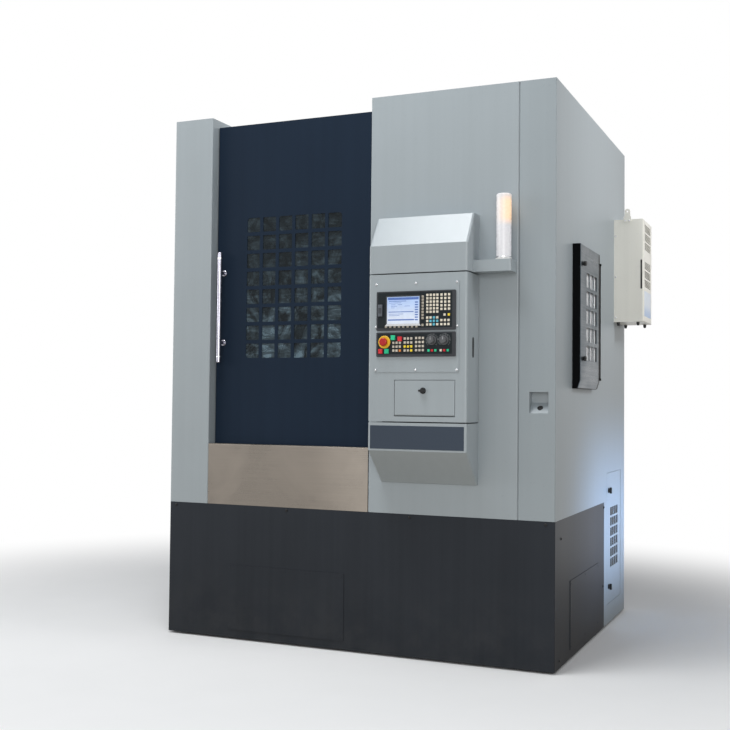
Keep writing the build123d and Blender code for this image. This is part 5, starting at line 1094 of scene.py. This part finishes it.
class LATHE_OT_sheet_plates(bpy.types.Operator):
    """Slate-blue plate on the chin, near-black backs behind the vents and the grip slot as painted shade, and
    the cup's grommet
    """

    bl_idname = "lathe.sheet_plates"
    bl_label = "Plates and backs"

    def execute(self, context):
        low, high = corners("chin")
        below_top = 0.073
        strip = plate(0.494, 0.116, 0.0015, 0.002, 0.0006)
        centre = ((low[0] + high[0]) / 2, low[1], high[2] - below_top)
        piece("chin_strip", strip, "front", centre, "strip_paint", "frame", "navy_paint")
        vent_mesh_finish()
        # Painted shade: a near-black woven plate just behind the service door's vents.
        right, rear = corners("service_door")[1, :2]
        behind, gap, from_frame, height = 0.0046, 0.002, 0.210, 0.510
        back = plate(0.262, 0.384, 0.0012, 0.004, 0.0003)
        centre = (right - behind, rear + gap - from_frame, height)
        piece("vent_backs", back, "right", centre, "vent_mesh", "service_door", "black_plastic")
        # Painted shade: a black plate just inside the console's grip slot.
        low, high = corners("console_box")
        behind, from_front, height = 0.0010, 0.091, 1.576
        slot = plate(0.028, 0.102, 0.0018, 0.0138, 0.0005)
        centre = (high[0] - behind, low[1] + from_front, height)
        piece("grip_lining", slot, "right", centre, "black_plastic", "console", "black_plastic")
        cup_grommet()
        seam_bead()
        return {"FINISHED"}


def cooler_panel_finish(foot):
    """Blue that pales upward from the panel's foot."""
    graph = blank("cooler_panel")
    where = graph.place()
    reach = 0.085
    fade = graph.ramp(graph.parts(where)["Z"], foot, foot + reach)
    cloud = graph.noise(where, 18.0, 3.0)
    tinted = graph.mix(fade, shown(146, 176, 218), shown(212, 223, 236))
    graph.feed(
        Base_Color=graph.shade(tinted, graph.ramp(cloud, 0.3, 0.7, 0.95, 1.04)),
        Roughness=graph.ramp(cloud, 0.3, 0.7, 0.28, 0.36),
    )


class LATHE_OT_cooler_trim(bpy.types.Operator):
    """Blue front panel, dark strip, screws and feet of the cooling unit"""

    bl_idname = "lathe.cooler_trim"
    bl_label = "Cooling unit trim"

    def execute(self, context):
        low, high = corners("cooler_grille")
        bottom, side = low[2], low[1]
        panel_foot, panel_head, sunk = 0.035, 0.190, 0.0011
        foot, head = bottom + panel_foot, bottom + panel_head
        cooler_panel_finish(foot)
        panel = plate(0.240, head - foot, 0.0012, 0.006, 0.0004)
        centre = (high[0] - sunk, (low[1] + high[1]) / 2, (foot + head) / 2)
        piece("cooler_panel", panel, "right", centre, "cooler_panel", "frame", "cooler_plastic")
        past_case, height = 0.004, 0.288
        strip = plate(0.010, 0.176, 0.0014, 0.002, 0.0005)
        centre = (corners("cooler_case")[1, 0] + past_case, side, bottom + height)
        piece("cooler_strip", strip, "front", centre, "black_plastic", "frame", "cooler_plastic")
        head_screw = socket_screw(0.0052, 0.0030)
        behind, rows = 0.150, np.array([0.028, 0.275, 0.525])
        places = (low[0] - behind, side, bottom + rows)
        piece("cooler_screws", head_screw, "front", places, *STEEL_ON_FRAME)
        thickness, below_top = 0.005, 0.008
        places = ([1.539, 1.563], side - thickness, high[2] - below_top)
        piece("lug_bolts", head_screw, "front", places, *STEEL_ON_FRAME)
        radius = context.scene.lathe_fitting_sizes.foot
        foot_rings = discs(
            28, (radius, 0), (radius, 0.012), (0.8 * radius, 0.014), (0.8 * radius, 0.019),
            (0.65 * radius, 0.021),
        )
        places = ([1.492, 1.492, 1.610, 1.610], [0.600, 0.845, 0.600, 0.845], bottom)
        piece("cooler_feet", foot_rings, "under", places, *BLACK_ON_FRAME)
        return {"FINISHED"}


class LATHE_OT_filter_trim(bpy.types.Operator):
    """Gripped thumb knobs on the filter cover"""

    bl_idname = "lathe.filter_trim"
    bl_label = "Filter trim"

    def execute(self, context):
        radius = context.scene.lathe_fitting_sizes.thumb_knob
        low, high = corners("filter_cover")
        grip = fluted(radius, 0.0016, 12)
        neck, top, dish = (circle(share * radius, len(grip)) for share in (0.75, 0.60, 0.50))
        knob = rise(
            (neck, 0), (neck, 0.003), (0.94 * grip, 0.003), (grip, 0.005), (grip, 0.016),
            (0.90 * grip, 0.018), (top, 0.0185), (dish, 0.0178),
        )
        stand_off, from_front, from_top, from_foot = 0.0433, 0.058, 0.097, 0.153
        face = corners("cabinet_side")[1, 0] + stand_off
        places = (face, low[1] + from_front, [high[2] - from_top, low[2] + from_foot])
        piece("filter_knobs", knob, "right", places, "black_plastic", "filter_cover", "black_plastic")
        return {"FINISHED"}


class LATHE_OT_door_trim(bpy.types.Operator):
    """Rosettes under the handle's posts and end rings on its bar"""

    bl_idname = "lathe.door_trim"
    bl_label = "Door trim"

    def execute(self, context):
        radius = context.scene.lathe_fitting_sizes.rosette
        low, high = corners("door_handle")
        bar, reach, from_foot, from_top = 0.013, np.array([-0.195, 0.195]), 0.030, 0.040
        bore = 0.575 * radius
        rosette = discs(
            40, (radius, 0), (radius, 0.0022), (0.86 * radius, 0.0044), (0.59 * radius, 0.0050),
            (bore, 0.0050), (bore, 0),
        )
        posts = (low[0] + bar, corners("door_panel")[0, 1], (low[2] + high[2]) / 2 + reach)
        piece("handle_rosettes", rosette, "front", posts, "handle_steel", "door", "stainless", closed=True)
        ring = band(0.0128, 0.0142, 0.010, 0.0008)
        ends = (low[0] + bar, low[1] + bar, [low[2] + from_foot, high[2] - from_top])
        piece("handle_rings", ring, "top", ends, "screw_steel", "door", "stainless", closed=True)
        return {"FINISHED"}


class LATHE_OT_chamber_trim(bpy.types.Operator):
    """Jaw bolts, tool clamping screws and cutting inserts inside the work chamber"""

    bl_idname = "lathe.chamber_trim"
    bl_label = "Chamber trim"

    def execute(self, context):
        chuck = corners("chuck_body").mean(axis=0)
        bolt = rise(
            (circle(0.0090), 0), (circle(0.0090), 0.0075), (circle(0.0082), 0.0090),
            (hexagon(0.0045), 0.0090), (hexagon(0.0044), 0.0035),
        )
        reach, step = np.array([0.150, 0.217]), 0.039
        for index in range(3):
            name = f"jaw_{index + 1}"
            angle = math.radians(90 + 120 * index)
            top = corners(name)[1, 2]
            across, along = chuck[0] + reach * math.cos(angle), chuck[1] + reach * math.sin(angle)
            places = (across, along, [top - step, top])
            piece(name + "_bolts", bolt, "top", places, "tool_steel", name, "machined_steel")
        brushed("insert_gold", display(196, 160, 84), (400, 400, 400), 0.05, 0.05, 0.3)
        turret = corners("turret_disc")
        hub = turret.mean(axis=0)
        stations, swing = 8, 0.12
        angle = np.radians(45 * np.arange(stations))
        aside = np.tile(angle, 2) + np.repeat([swing, -swing], stations)
        insert = plate(0.016, 0.016, 0.0045, 0.0012, 0.0006)
        cap_screw = socket_screw(0.0065, 0.0045)
        face, pair = corners("tool_set")[0, 1], np.repeat([0.195, 0.215], stations)
        insert_depth, insert_reach, cap_reach = hub[1] - 0.016, 0.274, 0.068
        for name, shape, depth, reach, turn, look in (
            ("clamp_screws", bolt, face, pair, aside, "screw_steel"),
            ("tool_inserts", spin(insert, angle), insert_depth, insert_reach, angle, "insert_gold"),
            ("turret_cap_screws", cap_screw, turret[0, 1], cap_reach, angle[:6] * 4 / 3, "screw_steel"),
        ):
            places = (hub[0] + reach * np.cos(turn), depth, hub[2] + reach * np.sin(turn))
            piece(name, shape, "front", places, look, "turret", "machined_steel")
        return {"FINISHED"}


class LATHE_OT_lamp_trim(bpy.types.Operator):
    """Silver ring round the foot of the tower light"""

    bl_idname = "lathe.lamp_trim"
    bl_label = "Lamp trim"

    def execute(self, context):
        low, high = corners("lamp_tube")
        ring = band(0.0366, 0.0392, 0.0055, 0.0010, 64)
        foot = ((low[0] + high[0]) / 2, (low[1] + high[1]) / 2, low[2])
        piece("lamp_ring", ring, "top", foot, *STEEL_ON_FRAME, closed=True)
        return {"FINISHED"}


# Name, place, aim, width and height, colour, and spread of the beam in radians
SOFTBOXES = (
    ("key", (-5.4, -4.6, 3.4), (0.3, -0.8, 1.5), (2.4, 2.4), (1.0, 1.0, 1.0), math.pi),
    ("top", (0.0, -2.6, 6.2), (0.4, -0.9, 1.6), (2.1, 2.1), (0.97, 0.99, 1.0), math.pi),
    ("fill", (2.8, -6.6, 2.3), (0.6, -0.6, 1.3), (2.4, 2.4), (1.0, 1.0, 1.0), math.pi),
    ("side", (5.2, -0.3, 5.0), (1.4, 0.1, 2.8), (2.2, 2.2), (1.0, 1.0, 1.0), 0.75),
    ("cool", (3.7, 0.5, 0.06), (1.4, 0.5, 0.6), (1.4, 0.3), (0.42, 0.62, 1.0), 0.55),
    ("edge", (-5.0, -2.4, 1.9), (0.6, -1.0, 1.7), (0.6, 3.6), (1.0, 1.0, 1.0), math.pi),
)


def seen(graph):
    """One where a camera, glossy or transmission ray looks, otherwise zero."""
    path = graph.add("ShaderNodeLightPath")
    either = graph.most(path["Is Camera Ray"], path["Is Glossy Ray"])
    return graph.most(either, path["Is Transmission Ray"])


def lay_floor(stage):
    """Flat disc inside one wide circle, that fades to white far from the machine."""
    radius, fade_from, fade_to = 40.0, 2.0, 4.6
    rim = rise((circle(radius, 96), 0.0))[0]
    mesh = bpy.data.meshes.new("floor")
    mesh.from_pydata(rim, [], [list(range(len(rim)))])
    made = bpy.data.objects.new("floor", mesh)
    bpy.context.scene.collection.objects.link(made)
    graph = blank("floor_white")
    tree = graph.tree
    where = graph.place()
    wear_and_painted_reflection = graph.ramp(graph.noise(where, 3.0, 3.0), 0.2, 0.8, 0.985, 1.0)
    looked_at = graph.add("ShaderNodeLightPath")["Is Camera Ray"]
    ground = graph.mix(looked_at, solid(stage.bounce), solid(stage.floor))
    graph.feed(Base_Color=graph.shade(ground, wear_and_painted_reflection), Roughness=0.9, Specular_IOR_Level=0.1)
    far = graph.times(graph.ramp(graph.length(where), fade_from, fade_to), seen(graph))
    glow = graph.add("ShaderNodeEmission", {"Color": (1, 1, 1, 1), "Strength": 1.0})[0]
    ground_shader = tree.nodes["Principled BSDF"].outputs[0]
    blend = graph.add("ShaderNodeMixShader", {0: far, 1: ground_shader, 2: glow})[0]
    graph.join(blend, tree.nodes["Material Output"].inputs["Surface"])
    mesh.materials.append(bpy.data.materials["floor_white"])


def light_surroundings(scene, stage):
    """White for what looks at it, and a soft cool grey for the light it gives."""
    world = bpy.data.worlds.new("studio")
    scene.world = world
    world.use_nodes = True
    graph = Graph(world.node_tree, world.node_tree.nodes["Background"].inputs)
    level = stage.ambient
    ambient = (0.97 * level, 0.99 * level, 1.02 * level, 1.0)
    graph.feed(Color=graph.mix(seen(graph), ambient, (1.0, 1.0, 1.0, 1.0)), Strength=1.0)


def hang_softbox(name, place, aim, extent, power, colour, spread):
    """Rectangular area light turned to look at a point, its beam as wide as the spread in radians."""
    lamp = bpy.data.lights.new(name, "AREA")
    lamp.shape = "RECTANGLE"
    lamp.size, lamp.size_y = extent
    lamp.energy = power
    lamp.color = colour
    lamp.spread = spread
    made = bpy.data.objects.new(name, lamp)
    made.location = place
    made.rotation_euler = (Vector(aim) - Vector(place)).to_track_quat("-Z", "Y").to_euler()
    bpy.context.scene.collection.objects.link(made)


def set_camera(scene, stage):
    """Camera from its place and its yaw, pitch and roll: right, up and backward directions as columns."""
    place = (2.7318, -6.0695, 1.3028)
    yaw, pitch, roll = 0.4139, 0.0342, 0.0099
    ahead = Vector((-math.sin(yaw) * math.cos(pitch), math.cos(yaw) * math.cos(pitch), math.sin(pitch)))
    level = Vector((math.cos(yaw), math.sin(yaw), 0.0))
    upright = level.cross(ahead)
    right = math.cos(roll) * level + math.sin(roll) * upright
    up = math.cos(roll) * upright - math.sin(roll) * level
    data = bpy.data.cameras.new("camera")
    data.lens = stage.lens
    data.sensor_width = 36.0
    data.clip_end = 200.0
    made = bpy.data.objects.new("camera", data)
    turn = Matrix((right, up, -ahead)).transposed()
    made.matrix_world = Matrix.Translation(place) @ turn.to_4x4()
    scene.collection.objects.link(made)
    scene.camera = made


class LATHE_OT_stage(bpy.types.Operator):
    """Plain pale floor, soft studio light and the camera"""

    bl_idname = "lathe.stage"
    bl_label = "Stage"

    def execute(self, context):
        stage = context.scene.lathe_stage
        lay_floor(stage)
        light_surroundings(context.scene, stage)
        for name, place, aim, extent, colour, spread in SOFTBOXES:
            hang_softbox(name + "_softbox", place, aim, extent, getattr(stage, name), colour, spread)
        set_camera(context.scene, stage)
        context.scene.view_settings.view_transform = "Standard"
        return {"FINISHED"}


OPERATORS = (
    LATHE_OT_stage, LATHE_OT_shell_finishes, LATHE_OT_metal_finishes, LATHE_OT_plastic_finishes,
    LATHE_OT_sheet_screws, LATHE_OT_key_caps, LATHE_OT_screen, LATHE_OT_switchgear, LATHE_OT_sheet_plates,
    LATHE_OT_cooler_trim, LATHE_OT_filter_trim, LATHE_OT_door_trim, LATHE_OT_chamber_trim, LATHE_OT_lamp_trim,
)
GROUPS = (
    ("lathe_paints", LathePaints), ("lathe_panel_tones", LathePanelTones),
    ("lathe_fitting_sizes", LatheFittingSizes), ("lathe_stage", LatheStageSettings),
)


class LATHE_PT_looks(bpy.types.Panel):
    """Colours, sizes and building steps of the lathe"""

    bl_idname = "LATHE_PT_looks"
    bl_label = "Vertical Turning Lathe"
    bl_space_type = "VIEW_3D"
    bl_region_type = "UI"
    bl_category = "Lathe"

    def draw(self, context):
        for pointer, group in GROUPS:
            column = self.layout.column(align=True)
            column.label(text=group.__doc__)
            for field in group.__annotations__:
                column.prop(getattr(context.scene, pointer), field)
        for operator in OPERATORS:
            self.layout.operator(operator.bl_idname)


def register():
    for pointer, group in GROUPS:
        bpy.utils.register_class(group)
        setattr(bpy.types.Scene, pointer, PointerProperty(type=group))
    for operator in OPERATORS:
        bpy.utils.register_class(operator)
    bpy.utils.register_class(LATHE_PT_looks)


def unregister():
    bpy.utils.unregister_class(LATHE_PT_looks)
    for operator in reversed(OPERATORS):
        bpy.utils.unregister_class(operator)
    for pointer, group in reversed(GROUPS):
        delattr(bpy.types.Scene, pointer)
        bpy.utils.unregister_class(group)


def main():
    register()
    bpy.ops.lathe.stage()
    bpy.ops.lathe.shell_finishes()
    bpy.ops.lathe.metal_finishes()
    bpy.ops.lathe.plastic_finishes()
    bpy.ops.lathe.sheet_screws()
    bpy.ops.lathe.key_caps()
    bpy.ops.lathe.screen()
    bpy.ops.lathe.switchgear()
    bpy.ops.lathe.sheet_plates()
    bpy.ops.lathe.cooler_trim()
    bpy.ops.lathe.filter_trim()
    bpy.ops.lathe.door_trim()
    bpy.ops.lathe.chamber_trim()
    bpy.ops.lathe.lamp_trim()


if __name__ == "__main__":
    main()
